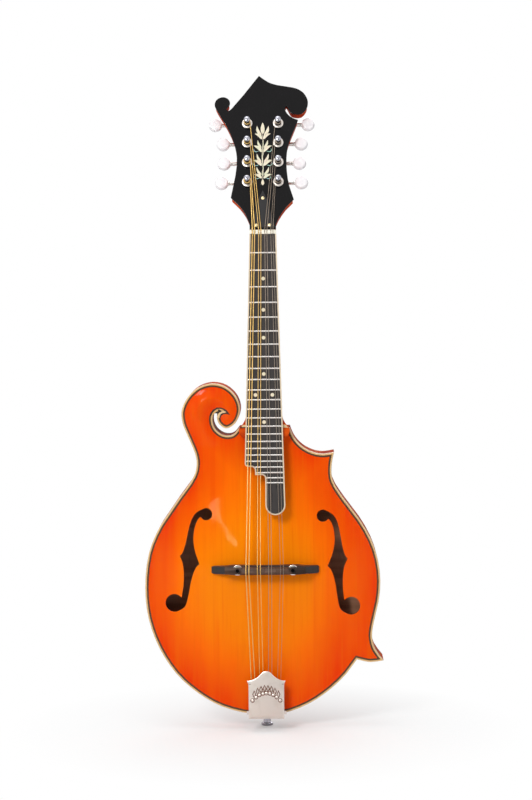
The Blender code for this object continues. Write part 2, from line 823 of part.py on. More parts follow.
def bore_cutter(name):
    """Room for the end pin's stem."""
    radius = clear_of(END_PIN_RADIUS, 12)
    bm = lathe([(radius, -PIN_BORE), (radius, PIN_LENGTH)], (0, BODY_END, PIN_N), (0, -1, 0), 12)
    return place(name, bm, bare_maple())


def level_at(loop, x):
    """The lowest point where an upright line crosses an outline."""
    found = []
    for a, b in zip(loop, loop[1:] + loop[:1]):
        if (a[0] > x) != (b[0] > x):
            found.append(a[1] + (x - a[0]) * (b[1] - a[1]) / (b[0] - a[0]))
    return x, min(found)


def make_blocks():
    """Tail block, and the head block with the scroll's core and the mortise for the neck."""
    wall = inset(OUTLINE, RIM_THICK + GAP)
    first = nearest_index(RIM_START)
    top = -GAP
    bottom = -RIM_DEPTH + GAP
    # Tail block
    rise = BODY_END + RIM_THICK + TAIL_BLOCK_DEPTH
    ends = [level_at(wall, x) for x in (-TAIL_BLOCK_HALF, TAIL_BLOCK_HALF)]
    loop = [ends[0]] + [p for p in wall if p[1] < rise and abs(p[0]) < TAIL_BLOCK_HALF] + [ends[1]]
    loop += [(loop[-1][0], rise), (loop[0][0], rise)]
    tail = place("tail_block", slab(loop, [], flat(top), flat(bottom)), bare_maple())
    combine(tail, [bore_cutter("tail_pin_bore")], "DIFFERENCE")
    # Head block with the scroll's core and the mortise for the neck
    mortise = [
        (-TENON_HALF - GAP, BODY_JOINT), (-TENON_HALF - TENON_FLARE - GAP, BODY_JOINT - TENON_LENGTH - GAP),
        (TENON_HALF + TENON_FLARE + GAP, BODY_JOINT - TENON_LENGTH - GAP), (TENON_HALF + GAP, BODY_JOINT),
    ]
    step = (Vector(OUTLINE[first - 1]) - Vector(OUTLINE[first])).normalized() * GAP
    loop = [tuple(Vector(wall[first]) + step), tuple(Vector(OUTLINE[first]) + step)]
    loop += OUTLINE[first - 1::-1] if first else []
    loop += mortise
    treble = []
    for i in range(len(OUTLINE) - 1, 0, -1):
        if OUTLINE[i][0] > HEAD_BLOCK_X:
            break
        treble.append(wall[i])
    loop += [(HEEL_HALF - 2 * GAP, BODY_JOINT)] + treble
    bass = [p for p in wall[first + 1:] if p[1] >= HEAD_BLOCK_V and p[0] < 0.0]
    loop += [(treble[-1][0], bass[-1][1])] + bass[::-1]
    place("head_block", slab(loop, [], flat(top), flat(bottom)), bare_maple())


def make_tone_bars():
    """Two bars glued under the top."""
    for name, (start, end) in (("tone_bar_bass", BAR_BASS), ("tone_bar_treble", BAR_TREBLE)):
        rings = []
        for i in range(BAR_STATIONS + 1):
            share = i / BAR_STATIONS
            x = start[0] + (end[0] - start[0]) * share
            v = start[1] + (end[1] - start[1]) * share
            half = BAR_WIDTH / 2
            depth = 2.0 + (BAR_HEIGHT - 2.0) * math.sin(math.pi * share) ** 0.5
            fronts = [(x + s * half, v, top_back(x + s * half, v) - GAP) for s in (-1, 1)]
            base = min(fronts[0][2], fronts[1][2]) - depth
            rings.append([fronts[0], fronts[1], (x + half, v, base), (x - half, v, base)])
        place(name, loft(rings), bare_spruce())


def board_half(v):
    """Half of the fingerboard's width."""
    return BOARD_NUT_HALF - BOARD_TAPER * v


def board_outline():
    """Open run from the nut down the bass edge, round the stepped end and up the treble edge."""
    left = -board_half(BASS_END)
    corner = (left + END_ROUND, BASS_END + END_ROUND)
    first = (STEP_X - END_ROUND, BASS_END - END_ROUND)
    second = (EXTENSION_X - END_ROUND, STEP_END - END_ROUND)
    right = board_half(EXTENSION_CENTRE)
    middle = ((EXTENSION_X + right) / 2, EXTENSION_CENTRE)
    radius = (right - EXTENSION_X) / 2
    run = [(-BOARD_NUT_HALF, 0.0), (left, corner[1])]
    run += sweep(corner, END_ROUND, 180, 270, 4) + [(corner[0], BASS_END)]
    run += [(first[0], BASS_END)] + sweep(first, END_ROUND, 90, 0, 4)
    run += [(STEP_X, first[1]), (STEP_X, STEP_END)]
    run += [(second[0], STEP_END)] + sweep(second, END_ROUND, 90, 0, 4) + [(EXTENSION_X, second[1])]
    run += [(EXTENSION_X, EXTENSION_CENTRE)] + sweep(middle, radius, 180, 360, 10)
    run += [(right, EXTENSION_CENTRE), (BOARD_NUT_HALF, 0.0)]
    return run


def crossings(loop, v):
    """Least and greatest x where a level line crosses an outline."""
    found = []
    for a, b in zip(loop, loop[1:] + loop[:1]):
        if (a[1] > v) != (b[1] > v):
            found.append(a[0] + (v - a[1]) * (b[0] - a[0]) / (b[1] - a[1]))
    return min(found), max(found)


def fret_place(number):
    """The v of a fret."""
    return -SCALE_LENGTH * (1.0 - 2.0 ** (-number / 12.0))


def make_fingerboard():
    """Fingerboard with its frets, and the binding round it."""
    edge = board_outline()
    inner = offset(edge, BOARD_BINDING, ends=True)
    wood = offset(edge, BOARD_BINDING + GAP, ends=True)
    board = place("fingerboard", slab(wood, [], flat(0.0), flat(-BOARD_THICK)), ebony(), NECK)
    ring = edge + inner[::-1]
    place("fingerboard_binding", slab(ring, [], flat(0.0), flat(-BOARD_THICK)), cream(), NECK)
    frets = bmesh.new()
    for number in range(1, FRET_COUNT + 1):
        v = fret_place(number)
        low, high = crossings(wood, v)
        half = FRET_WIDTH / 2
        rings = []
        for x in (low + 0.4, high - 0.4):
            rings.append([(x, v - half, -FRET_SINK), (x, v + half, -FRET_SINK), (x, v, FRET_HEIGHT)])
        loft(rings, bm=frets)
    combine(board, [place("fret_wires", frets, nickel(), NECK)], "UNION")


def under_board(_, v):
    """The neck's top face in the body frame."""
    return NUT_SURFACE - v * NECK_SLOPE - BOARD_THICK / math.cos(math.radians(NECK_ANGLE)) - GAP


def peg_plane(v, depth):
    """Height in the body frame of a plane so deep behind the peghead's face."""
    return PEG_FACE - (v - NUT_LENGTH - GAP) * PEG_SLOPE - depth / PEG_COSINE


def shaft_section(v, half, front, back, power):
    """Flat-topped section of the neck at one height."""
    ring = []
    for i in range(SHAFT_SIDES + 1):
        angle = math.pi * i / SHAFT_SIDES
        x = half * math.copysign(abs(math.cos(angle)) ** (2.0 / power), math.cos(angle))
        ring.append((x, v, front + (back - front) * math.sin(angle) ** (2.0 / power)))
    return ring


def make_neck():
    """Shaft, heel, dovetail tenon, board rest and peghead core in one piece."""
    joint = BODY_JOINT + GAP
    rings = []
    for v, depth, power in PEGHEAD_SECTIONS:
        front = peg_plane(v, VENEER + GAP)
        rings.append(shaft_section(v, BOARD_NUT_HALF - 1.2, front - 0.3, peg_plane(v, PEG_THICK) + depth,
                                   power))
    near = under_board(0.0, 0.0) - NECK_DEPTH_NUT
    rings.append(shaft_section(NUT_LENGTH + 3.0, BOARD_NUT_HALF - 0.4,
                               peg_plane(NUT_LENGTH + 3.0, VENEER + GAP), near, 2.6))
    for v in (NUT_LENGTH, 0.0):
        rings.append(shaft_section(v, BOARD_NUT_HALF, under_board(0.0, v), near, NECK_POWER))
    middle = HEEL_DEPTHS[0][0] / 2
    depth = (NECK_DEPTH_NUT + NECK_DEPTH_HEEL) / 2
    rings.append(shaft_section(middle, board_half(middle), under_board(0, middle),
                               under_board(0, middle) - depth, NECK_POWER))
    for v, depth, power in HEEL_DEPTHS:
        flare = max(0.0, (BODY_JOINT + HEEL_FLARE - v) / HEEL_FLARE)
        half = board_half(v) + (HEEL_HALF - board_half(BODY_JOINT)) * flare ** 2
        rings.append(shaft_section(v, half, under_board(0, v), under_board(0, v) - depth, power))
    rings.append(shaft_section(joint, HEEL_HALF, under_board(0, joint), HEEL_CAP, 1.8))
    neck = place("neck", loft(rings), red_maple())
    tools = [place("peghead_core", peghead_core(), red_maple(), PEGHEAD)]
    tools.append(place("neck_tenon", slab(tenon_outline(), [], flat(-GAP), flat(-TENON_DEPTH)), red_maple()))
    rest = slab(rest_outline(), [], under_board, lambda x, v: top_front(x, v) + REST_CLEAR)
    tools.append(place("board_rest", rest, red_maple()))
    combine(neck, tools, "UNION")
    half = ROD_RADIUS + GAP
    channel = box((-half, ROD_END - GAP, ROD_AXIS - half), (half, POCKET_START + 1.0, 6.0))
    pocket = box((-POCKET_HALF, POCKET_START, ROD_AXIS - POCKET_HALF), (POCKET_HALF, POCKET_END, 6.0))
    tools = [place("rod_channel", channel, red_maple(), NECK)]
    tools.append(place("rod_pocket", pocket, red_maple(), NECK))
    combine(neck, tools, "DIFFERENCE")


def tenon_outline():
    """Dovetail that fills the head block's mortise, carried up into the heel."""
    end = BODY_JOINT - TENON_LENGTH
    mouth = TENON_HALF
    start = BODY_JOINT + 1.5
    return [(-mouth, start), (-mouth, BODY_JOINT), (-mouth - TENON_FLARE, end),
            (mouth + TENON_FLARE, end), (mouth, BODY_JOINT), (mouth, start)]


def rest_outline():
    """Raised block under the fingerboard, clear of the binding that crosses in front of the heel."""
    start = BODY_JOINT - 2.5
    end = BODY_JOINT - BLOCK_LENGTH
    inner = board_half(BODY_JOINT) - 1.5
    left = [(-inner, BODY_JOINT + 6.0), (-inner, start), (-HEEL_HALF + 1.0, start),
            (-HEEL_HALF, start - 2.5), (-inner - 2.0, end)]
    return left + [(-x, v) for x, v in reversed(left)]


def peghead_outline(foot):
    """Edge of the peghead, anticlockwise, cut straight at its foot."""
    points = [(BOARD_NUT_HALF - GAP, foot)]
    for run in PEGHEAD_POINTS:
        points += smooth(run, PEGHEAD_TURN)[:-1]
    points.append(PEGHEAD_POINTS[-1][-1])
    points.append((GAP - BOARD_NUT_HALF, foot))
    return points


def post_places():
    """(side, row, x, v) of each tuner; side -1 is the bass side, and rows run up from the nut."""
    for side in (-1, 1):
        for row in range(POST_ROWS):
            yield side, row, side * POST_COLUMN, POST_FIRST + POST_PITCH * row


def post_holes(radius):
    """A round hole at each tuner."""
    return [circle(x, v, radius, HOLE_SIDES) for _, _, x, v in post_places()]


def peghead_core():
    """The peghead's wood behind its face."""
    holes = post_holes(clear_of(POST_RADIUS, HOLE_SIDES))
    return slab(peghead_outline(PEGHEAD_FOOT + 4.0), holes, flat(-VENEER - GAP), flat(-PEG_THICK))


def make_peghead_face():
    """Face with the post flanges, and the truss rod cover over its window."""
    half = ROD_NUT_RADIUS + GAP
    low, high = ROD_WINDOW
    window = [(-half, low), (half, low), (half, high), (-half, high)]
    holes = post_holes(FLANGE_RADIUS - 1.0) + [window]
    veneer = place("peghead_veneer", slab(peghead_outline(GAP), holes, flat(0.0), flat(-VENEER)),
                   black_gloss(), PEGHEAD)
    flanges = bmesh.new()
    for _, _, x, v in post_places():
        bore = clear_of(POST_RADIUS, HOLE_SIDES)
        rim = [(FLANGE_RADIUS, -FLANGE_SINK), (FLANGE_RADIUS - 0.4, FLANGE_HEIGHT)]
        ring = tube(rim, bore, (x, v, 0.0), (0, 0, 1), HOLE_SIDES)
        merge(flanges, ring)
    combine(veneer, [place("post_flanges", flanges, nickel(), PEGHEAD)], "UNION")
    half = smooth(COVER_POINTS)
    outline = half + [(-x, v) for x, v in reversed(half[:-1])]
    place("truss_rod_cover", slab(outline, [], flat(GAP + COVER_THICK), flat(GAP)), black_gloss(), PEGHEAD)


def merge(target, part):
    """Add one mesh to another and free it."""
    mesh = bpy.data.meshes.new("part")
    part.to_mesh(mesh)
    part.free()
    target.from_mesh(mesh)
    bpy.data.meshes.remove(mesh)


def make_truss_rod():
    """Rod in its channel, with a tube nut in the pocket under the cover."""
    end = POCKET_END - 4.0
    profile = [(ROD_RADIUS, ROD_END), (ROD_RADIUS, POCKET_START - 1.0),
               (ROD_TIP_RADIUS, POCKET_START - 1.0), (ROD_TIP_RADIUS, end)]
    place("truss_rod", lathe(profile, (0, 0, ROD_AXIS), (0, 1, 0), 10), steel(), NECK)
    body = [(ROD_NUT_RADIUS, POCKET_START + 1.0), (ROD_NUT_RADIUS, end + 0.6)]
    rod_nut = tube(body, ROD_TIP_RADIUS + 2 * GAP, (0, 0, ROD_AXIS), (0, 1, 0), 6)
    place("truss_rod_nut", rod_nut, nickel(), NECK, (0, POCKET_START, ROD_AXIS))


def string_lanes(pairs, spread):
    """The x of each string, bass to treble, from its course's centre."""
    return [centre + side * spread for centre in pairs for side in (-1, 1)]


def make_nut():
    """Nut with a slot for each string, a little lower at the back where the strings turn down."""
    lanes = string_lanes(NUT_PAIRS, NUT_SPREAD)
    rings = []
    for v, drop in ((GAP, 0.0), (NUT_LENGTH - GAP, NUT_BACK_DROP)):
        ring = [(-BOARD_NUT_HALF, v, -BOARD_THICK), (-BOARD_NUT_HALF, v, NUT_RISE - 1.2 - drop)]
        for i, x in enumerate(lanes):
            radius = STRING_RADIUS[i // 2]
            half = radius + GAP
            floor = STRING_LIFT - GAP - drop * 1.3
            rise = max(NUT_RISE - drop, floor + 0.6)
            ring += [(x - half - 0.1, v, rise), (x - half, v, floor), (x + half, v, floor),
                     (x + half + 0.1, v, rise)]
        ring += [(BOARD_NUT_HALF, v, NUT_RISE - 1.2 - drop), (BOARD_NUT_HALF, v, -BOARD_THICK)]
        rings.append(ring)
    place("nut", loft(rings), bone(), NECK)


def strings():
    """(name, course, lane, side, row) for each string and the tuner that it goes to, bass to treble."""
    for lane in range(2 * len(COURSES)):
        course = lane // 2
        bass = lane < POST_ROWS
        row = lane if bass else 2 * POST_ROWS - 1 - lane
        yield COURSES[course] + str(lane % 2 + 1), course, lane, -1 if bass else 1, row


def tooth_half(height):
    """Half the thickness of a tooth or thread so far outside its pitch line."""
    return PITCH * TOOTH_SHARE / 2 - height * FLANK


def winding_pitch(course):
    """Rise of a string on its post for one turn."""
    return 2.0 * STRING_RADIUS[course] + WINDING_GAP


def hole_height(course):
    """Height on the post of the string's hole, where the winding ends."""
    return WINDING_LOW + winding_pitch(course) * TURNS[course]


def post_mesh(x, v):
    """Post with its worm gear, whose teeth lean by the worm's lead."""
    bm = bmesh.new()
    gear = []
    for n in (GEAR_N - GEAR_WIDTH / 2, GEAR_N + GEAR_WIDTH / 2):
        ring = []
        twist = (n - GEAR_N) * LEAD_TANGENT / GEAR_RADIUS
        for k in range(GEAR_TEETH):
            middle = math.pi / 2 + 2.0 * math.pi * k / GEAR_TEETH + twist
            for radius, sense, height in (
                (GEAR_RADIUS - ROOT_DEPTH, -1, -ROOT_DEPTH), (GEAR_RADIUS + TIP_HEIGHT, -1, TIP_HEIGHT),
                (GEAR_RADIUS + TIP_HEIGHT, 1, TIP_HEIGHT), (GEAR_RADIUS - ROOT_DEPTH, 1, -ROOT_DEPTH),
            ):
                angle = middle + sense * tooth_half(height) / radius
                ring.append(bm.verts.new((x + radius * math.cos(angle), v + radius * math.sin(angle), n)))
        gear.append(ring)
    count = len(gear[0])
    for i in range(count):
        j = (i + 1) % count
        bm.faces.new((gear[0][i], gear[0][j], gear[1][j], gear[1][i]))
    bm.faces.new(reversed(gear[0]))
    top = GEAR_N + GEAR_WIDTH / 2
    profile = [(WAIST_RADIUS, top), (POST_RADIUS, PLATE_BACK), (POST_RADIUS, WAIST_LOW - 0.4),
               (WAIST_RADIUS, WAIST_LOW), (WAIST_RADIUS, POST_TOP - 2.4), (POST_RADIUS, POST_TOP - 0.8)]
    rings = []
    for radius, n in profile:
        ring = []
        for k in range(POST_SIDES):
            angle = math.pi / 2 + 2.0 * math.pi * (k - 0.5) / POST_SIDES
            ring.append(bm.verts.new((x + radius * math.cos(angle), v + radius * math.sin(angle), n)))
        rings.append(ring)
    for low, high in zip(rings, rings[1:]):
        for k in range(POST_SIDES):
            after = (k + 1) % POST_SIDES
            bm.faces.new((low[k], low[after], high[after], high[k]))
    bm.faces.new(rings[-1])
    base = rings[0]
    for k in range(GEAR_TEETH):
        after = (k + 1) % GEAR_TEETH
        tooth = gear[1][4 * k:4 * k + 4]
        bm.faces.new([base[k]] + tooth + [base[after]])
        bm.faces.new((tooth[3], gear[1][4 * after], base[after]))
    return bm


def worm_mesh(x, v, side, reach):
    """Worm shaft: journals, a right-handed thread centred over the gear, and a collar at the button."""
    bm = bmesh.new()
    root = WORM_RADIUS - ROOT_DEPTH
    tip = WORM_RADIUS + TIP_HEIGHT
    crest = tooth_half(TIP_HEIGHT)
    foot = tooth_half(-ROOT_DEPTH)
    offsets = ((0.0, root), (PITCH / 2 - foot, root), (PITCH / 2 - crest, tip), (PITCH / 2 + crest, tip),
               (PITCH / 2 + foot, root))
    rows = []
    for turn in range(THREAD_TURNS):
        rows += [(turn * PITCH + along, radius) for along, radius in offsets[1:]]
    spare = [(THREAD_TURNS * PITCH + along, radius) for along, radius in offsets[1:]]
    step = len(offsets) - 1

    def vertex(i, along, radius):
        angle = 2.0 * math.pi * i / THREAD_SIDES
        reach_v = v + WORM_RISE + radius * math.cos(angle)
        return bm.verts.new((x - THREAD_HALF + PITCH * i / THREAD_SIDES + along, reach_v,
                             GEAR_N + radius * math.sin(angle)))

    columns = []
    for i in range(THREAD_SIDES):
        chosen = rows + spare if i == 0 else rows
        columns.append([vertex(i, along, radius) for along, radius in chosen])
    last = len(rows) - 1
    for i in range(THREAD_SIDES):
        low = columns[i]
        high = columns[(i + 1) % THREAD_SIDES]
        shift = step if i == THREAD_SIDES - 1 else 0
        for j in range(last):
            bm.faces.new((low[j], low[j + 1], high[j + 1 + shift], high[j + shift]))
    start = [column[0] for column in columns] + [columns[0][j] for j in range(step, 0, -1)]
    finish = [column[last] for column in columns] + [columns[0][last + j] for j in range(step, 0, -1)]
    shoulder = [(SHOULDER_RADIUS, THREAD_HALF + GAP), (SHOULDER_RADIUS, EAR_INNER - GAP),
                (SHAFT_RADIUS, EAR_INNER - GAP)]
    inner = shoulder + [(SHAFT_RADIUS, EAR_INNER + EAR + JOURNAL_END)]
    collar = reach - POST_COLUMN - BUTTON_RADIUS - 0.2
    outer = shoulder + [(SHAFT_RADIUS, collar - COLLAR_LENGTH), (COLLAR_RADIUS, collar),
                        (SHAFT_RADIUS, collar), (SHAFT_RADIUS, collar + SHAFT_SEAT)]
    for loop, sense, profile in ((start, -1, inner if side > 0 else outer),
                                 (finish, 1, outer if side > 0 else inner)):
        before = loop
        for number, (radius, along) in enumerate(profile):
            ring = []
            for i in range(THREAD_SIDES):
                angle = 2.0 * math.pi * i / THREAD_SIDES
                place_v = v + WORM_RISE + radius * math.cos(angle)
                ring.append(bm.verts.new((x + sense * along, place_v, GEAR_N + radius * math.sin(angle))))
            for i in range(THREAD_SIDES):
                after = (i + 1) % THREAD_SIDES
                if number == 0 and i == THREAD_SIDES - 1:
                    bm.faces.new((before[i], before[THREAD_SIDES], ring[0], ring[i]))
                else:
                    bm.faces.new((before[i], before[after], ring[after], ring[i]))
            if number == 0:
                tail = loop[THREAD_SIDES:] + [loop[0]]
                for a, b in zip(tail, tail[1:]):
                    bm.faces.new((a, b, ring[0]))
            before = ring
        bm.faces.new(before)
    return bm


def button_mesh(x, v):
    """Round flat button with a soft edge."""
    half = BUTTON_THICK / 2
    profile = [(BUTTON_RADIUS * 0.6, -half), (BUTTON_RADIUS, -half * 0.35), (BUTTON_RADIUS, half * 0.35),
               (BUTTON_RADIUS * 0.6, half)]
    return lathe(profile, (x, v, GEAR_N), (0, 0, 1), 12)


def make_tuner_plates():
    """A plate on each side of the peghead, with a pair of ears for each worm shaft."""
    for side, name in ((-1, "tuner_plate_bass"), (1, "tuner_plate_treble")):
        x = side * POST_COLUMN
        rows = [POST_FIRST + POST_PITCH * row for row in range(POST_ROWS)]
        half = TUNER_PLATE_WIDTH / 2
        outline = [(x - half, rows[0] - PLATE_BELOW), (x + half, rows[0] - PLATE_BELOW),
                   (x + half, rows[-1] + PLATE_ABOVE), (x - half, rows[-1] + PLATE_ABOVE)]
        holes = [circle(x, v, clear_of(POST_RADIUS, HOLE_SIDES), HOLE_SIDES) for v in rows]
        strip = slab(outline, holes, flat(-PEG_THICK - GAP), flat(PLATE_BACK))
        plate = place(name, strip, nickel(), PEGHEAD)
        ears = bmesh.new()
        bores = bmesh.new()
        for v in rows:
            axis = v + WORM_RISE
            for sense in (-1, 1):
                near = x + sense * EAR_INNER
                far = near + sense * EAR
                low = (min(near, far), axis - EAR_HALF, GEAR_N - EAR_DEPTH)
                merge(ears, box(low, (max(near, far), axis + EAR_HALF, PLATE_BACK + TUNER_PLATE / 2)))
                radius = clear_of(SHAFT_RADIUS, BORE_SIDES)
                bore = [(radius, -EAR), (radius, EAR)]
                merge(bores, lathe(bore, ((near + far) / 2, axis, GEAR_N), (1, 0, 0), BORE_SIDES))
        combine(plate, [place(name + "_ears", ears, nickel(), PEGHEAD)], "UNION")
        combine(plate, [place(name + "_bores", bores, nickel(), PEGHEAD)], "DIFFERENCE")


def make_tuners():
    """Post with gear, worm shaft and button of each string."""
    for name, course, _, side, row in strings():
        x = side * POST_COLUMN
        v = POST_FIRST + POST_PITCH * row
        reach = (BUTTON_REACH_BASS if side < 0 else BUTTON_REACH_TREBLE)[row]
        post = place("post_" + name, post_mesh(x, v), nickel(), PEGHEAD, (x, v, 0))
        hole = [(HOLE_RADIUS, -POST_RADIUS * 2), (HOLE_RADIUS, POST_RADIUS * 2)]
        bore = lathe(hole, (x, v, hole_height(course)), (1, 0, 0), 8)
        combine(post, [place("hole_" + name, bore, nickel(), PEGHEAD)], "DIFFERENCE")
        axis = (x, v + WORM_RISE, GEAR_N)
        place("worm_" + name, worm_mesh(x, v, side, reach), nickel(), PEGHEAD, axis)
        button = place("button_" + name, button_mesh(side * reach, v + WORM_RISE), pearloid(), PEGHEAD, axis)
        radius = clear_of(SHAFT_RADIUS, BORE_SIDES)
        socket = [(radius, -3.0), (radius, SHAFT_SEAT + GAP)]
        mouth = (side * (reach - BUTTON_RADIUS), v + WORM_RISE, GEAR_N)
        cutter = lathe(socket, mouth, (side, 0, 0), BORE_SIDES)
        combine(button, [place("socket_" + name, cutter, pearloid(), PEGHEAD)], "DIFFERENCE")


def make_bridge():
    """Foot, studs, thumbwheels and saddle."""
    rings = []
    for i in range(BASE_STATIONS + 1):
        x = -BRIDGE_HALF + 2.0 * BRIDGE_HALF * i / BASE_STATIONS
        half = BRIDGE_WIDTH / 2 * (1.0 if abs(x) < STUD_X + 8.0 else 0.85)
        relief = FOOT_ARCH if abs(x) < FOOT_GAP else 0.0
        outward = max(0.0, (abs(x) - STUD_X - 6.0) / (BRIDGE_HALF - STUD_X - 6.0))
        floor = [top_front(x, BRIDGE_V + s * half) + GAP + relief for s in (-1, 1)]
        top = BASE_TOP + (max(floor) + BASE_END_HEIGHT - BASE_TOP) * outward ** 1.2
        rings.append([(x, BRIDGE_V - half, floor[0]), (x, BRIDGE_V + half, floor[1]),
                      (x, BRIDGE_V + half * 0.8, top), (x, BRIDGE_V - half * 0.8, top)])
    base = place("bridge_base", loft(rings), ebony())
    sockets = bmesh.new()
    bores = bmesh.new()
    bore = clear_of(STUD_RADIUS, 10)
    for side in (-1, 1):
        centre = (side * STUD_X, BRIDGE_V, BASE_TOP)
        merge(sockets, lathe([(bore, -STUD_SINK - GAP), (bore, 6.0)], centre, (0, 0, 1), 10))
        merge(bores, lathe([(bore, 0.0), (bore, SADDLE_TOP - BASE_TOP)], centre, (0, 0, 1), 10))
    combine(base, [place("stud_sockets", sockets, ebony())], "DIFFERENCE")
    course_edges = [(a + b) / 2 for a, b in zip(SADDLE_PAIRS, SADDLE_PAIRS[1:])]
    stations = [(-SADDLE_HALF, 0.0, WING_END), (-CROWN_HALF - 3.0, 0.0, WING_DROP),
                (-CROWN_HALF, RIDGE_OFFSETS[0], 0.0)]
    for edge, low, high in zip(course_edges, RIDGE_OFFSETS, RIDGE_OFFSETS[1:]):
        stations += [(edge - 0.5, low, 0.0), (edge + 0.5, high, 0.0)]
    stations += [(CROWN_HALF, RIDGE_OFFSETS[-1], 0.0), (CROWN_HALF + 3.0, 0.0, WING_DROP),
                 (SADDLE_HALF, 0.0, WING_END)]
    rings = []
    half = SADDLE_DEPTH / 2
    for x, ridge, drop in stations:
        top = SADDLE_TOP - drop
        middle = BRIDGE_V + ridge
        rings.append([(x, BRIDGE_V - half, SADDLE_BASE), (x, BRIDGE_V + half, SADDLE_BASE),
                      (x, BRIDGE_V + half, top - 1.6), (x, middle + 0.8, top), (x, middle - 0.8, top),
                      (x, BRIDGE_V - half, top - 1.6)])
    saddle = place("bridge_saddle", loft(rings), rosewood(), BODY, (0, BRIDGE_V, SADDLE_BASE))
    combine(saddle, [place("stud_bores", bores, rosewood())], "DIFFERENCE")
    for side, name in ((-1, "bass"), (1, "treble")):
        centre = (side * STUD_X, BRIDGE_V, 0.0)
        stud = [(STUD_RADIUS, BASE_TOP - STUD_SINK), (STUD_RADIUS, SADDLE_BASE + STUD_RISE)]
        place("bridge_stud_" + name, lathe(stud, centre, (0, 0, 1), 10), steel())
        wheel = [(WHEEL_RADIUS, WHEEL_BASE), (WHEEL_RADIUS, WHEEL_BASE + WHEEL_THICK)]
        bm = tube(wheel, clear_of(STUD_RADIUS, WHEEL_SIDES), centre, (0, 0, 1), WHEEL_SIDES)
        place("thumbwheel_" + name, bm, nickel(), BODY, centre)


def hook_row(lane):
    """The v of a string's hook: every other hook stands higher, so that the loops clear each other."""
    return HOOK_V + HOOK_STAGGER * (lane % 2)


def make_tailpiece():
    """Hooked base over the tail, its sliding cover, and the end pin."""
    inner_v = BODY_END - GAP
    outer_v = inner_v - BASE_THICK
    top = HOOK_BASE + BASE_THICK
    profile = [(BASE_START, HOOK_BASE), (BASE_START, top), (outer_v, top), (outer_v, BASE_DROP),
               (inner_v, BASE_DROP), (inner_v, HOOK_BASE)]
    base = place("tailpiece_base", loft([[(x, v, n) for v, n in profile] for x in (-BASE_HALF, BASE_HALF)]),
                 nickel())
    extras = bmesh.new()
    for lane, x in enumerate(string_lanes(TAIL_PAIRS, TAIL_SPREAD)):
        merge(extras, lathe([(HOOK_RADIUS, -0.5), (HOOK_RADIUS, HOOK_TOP)], (x, hook_row(lane), top),
                            (0, 0, 1), 6))
    lug_v = inner_v + 1.0
    merge(extras, box((-LUG_HALF, lug_v, HOOK_BASE + 0.1), (LUG_HALF, lug_v + LUG_LENGTH, top - 0.1)))
    combine(base, [place("hooks_and_lugs", extras, nickel())], "UNION")
    combine(base, [bore_cutter("base_pin_bore")], "DIFFERENCE")
    # Cover: a crowned front over two side walls, open below so that it slides up off the hooks
    half = [(x, COVER_TOP + v) for x, v in COVER_EDGE] + [(COVER_HALF, COVER_BOTTOM)]
    outline = [(-x, v) for x, v in half] + [(x, v) for x, v in reversed(half[1:])]
    ridge = [(x * COVER_HALF, COVER_TOP - v * COVER_LENGTH) for v in (0.25, 0.65) for x in (-0.5, 0.0, 0.5)]

    def crown(x, v):
        return COVER_FRONT - COVER_CROWN * (x / COVER_HALF) ** 2

    bm = slab(outline, [], crown, lambda x, v: crown(x, v) - COVER_WALL, ridge)
    cover = place("tailpiece_cover", bm, nickel(), BODY, (0, COVER_TOP, COVER_RIM))
    wall_top = COVER_TOP - COVER_WALL_START
    inner = COVER_HALF - COVER_WALL
    outer = COVER_HALF - 0.1
    walls = bmesh.new()
    for low, high in ((-outer, -inner), (inner, outer)):
        merge(walls, box((low, COVER_BOTTOM + 0.1, COVER_RIM),
                         (high, wall_top, COVER_FRONT - COVER_CROWN - COVER_WALL / 2)))
    combine(cover, [place("cover_walls", walls, nickel())], "UNION")
    plate = -BODY_END + 2 * GAP + BASE_THICK
    profile = [(END_PIN_RADIUS, -BODY_END - PIN_STEM), (END_PIN_RADIUS, plate), (PIN_NECK + 2.6, plate),
               (PIN_NECK + 2.2, plate + 1.4), (PIN_NECK, plate + 2.2),
               (PIN_NECK, plate + PIN_LENGTH - PIN_HEAD - 1.5),
               (END_PIN_FLANGE, plate + PIN_LENGTH - PIN_HEAD),
               (END_PIN_FLANGE, plate + PIN_LENGTH - 1.0), (END_PIN_FLANGE - 1.0, plate + PIN_LENGTH)]
    place("end_pin", lathe(profile, (0, 0, PIN_N), (0, -1, 0), 12), nickel())


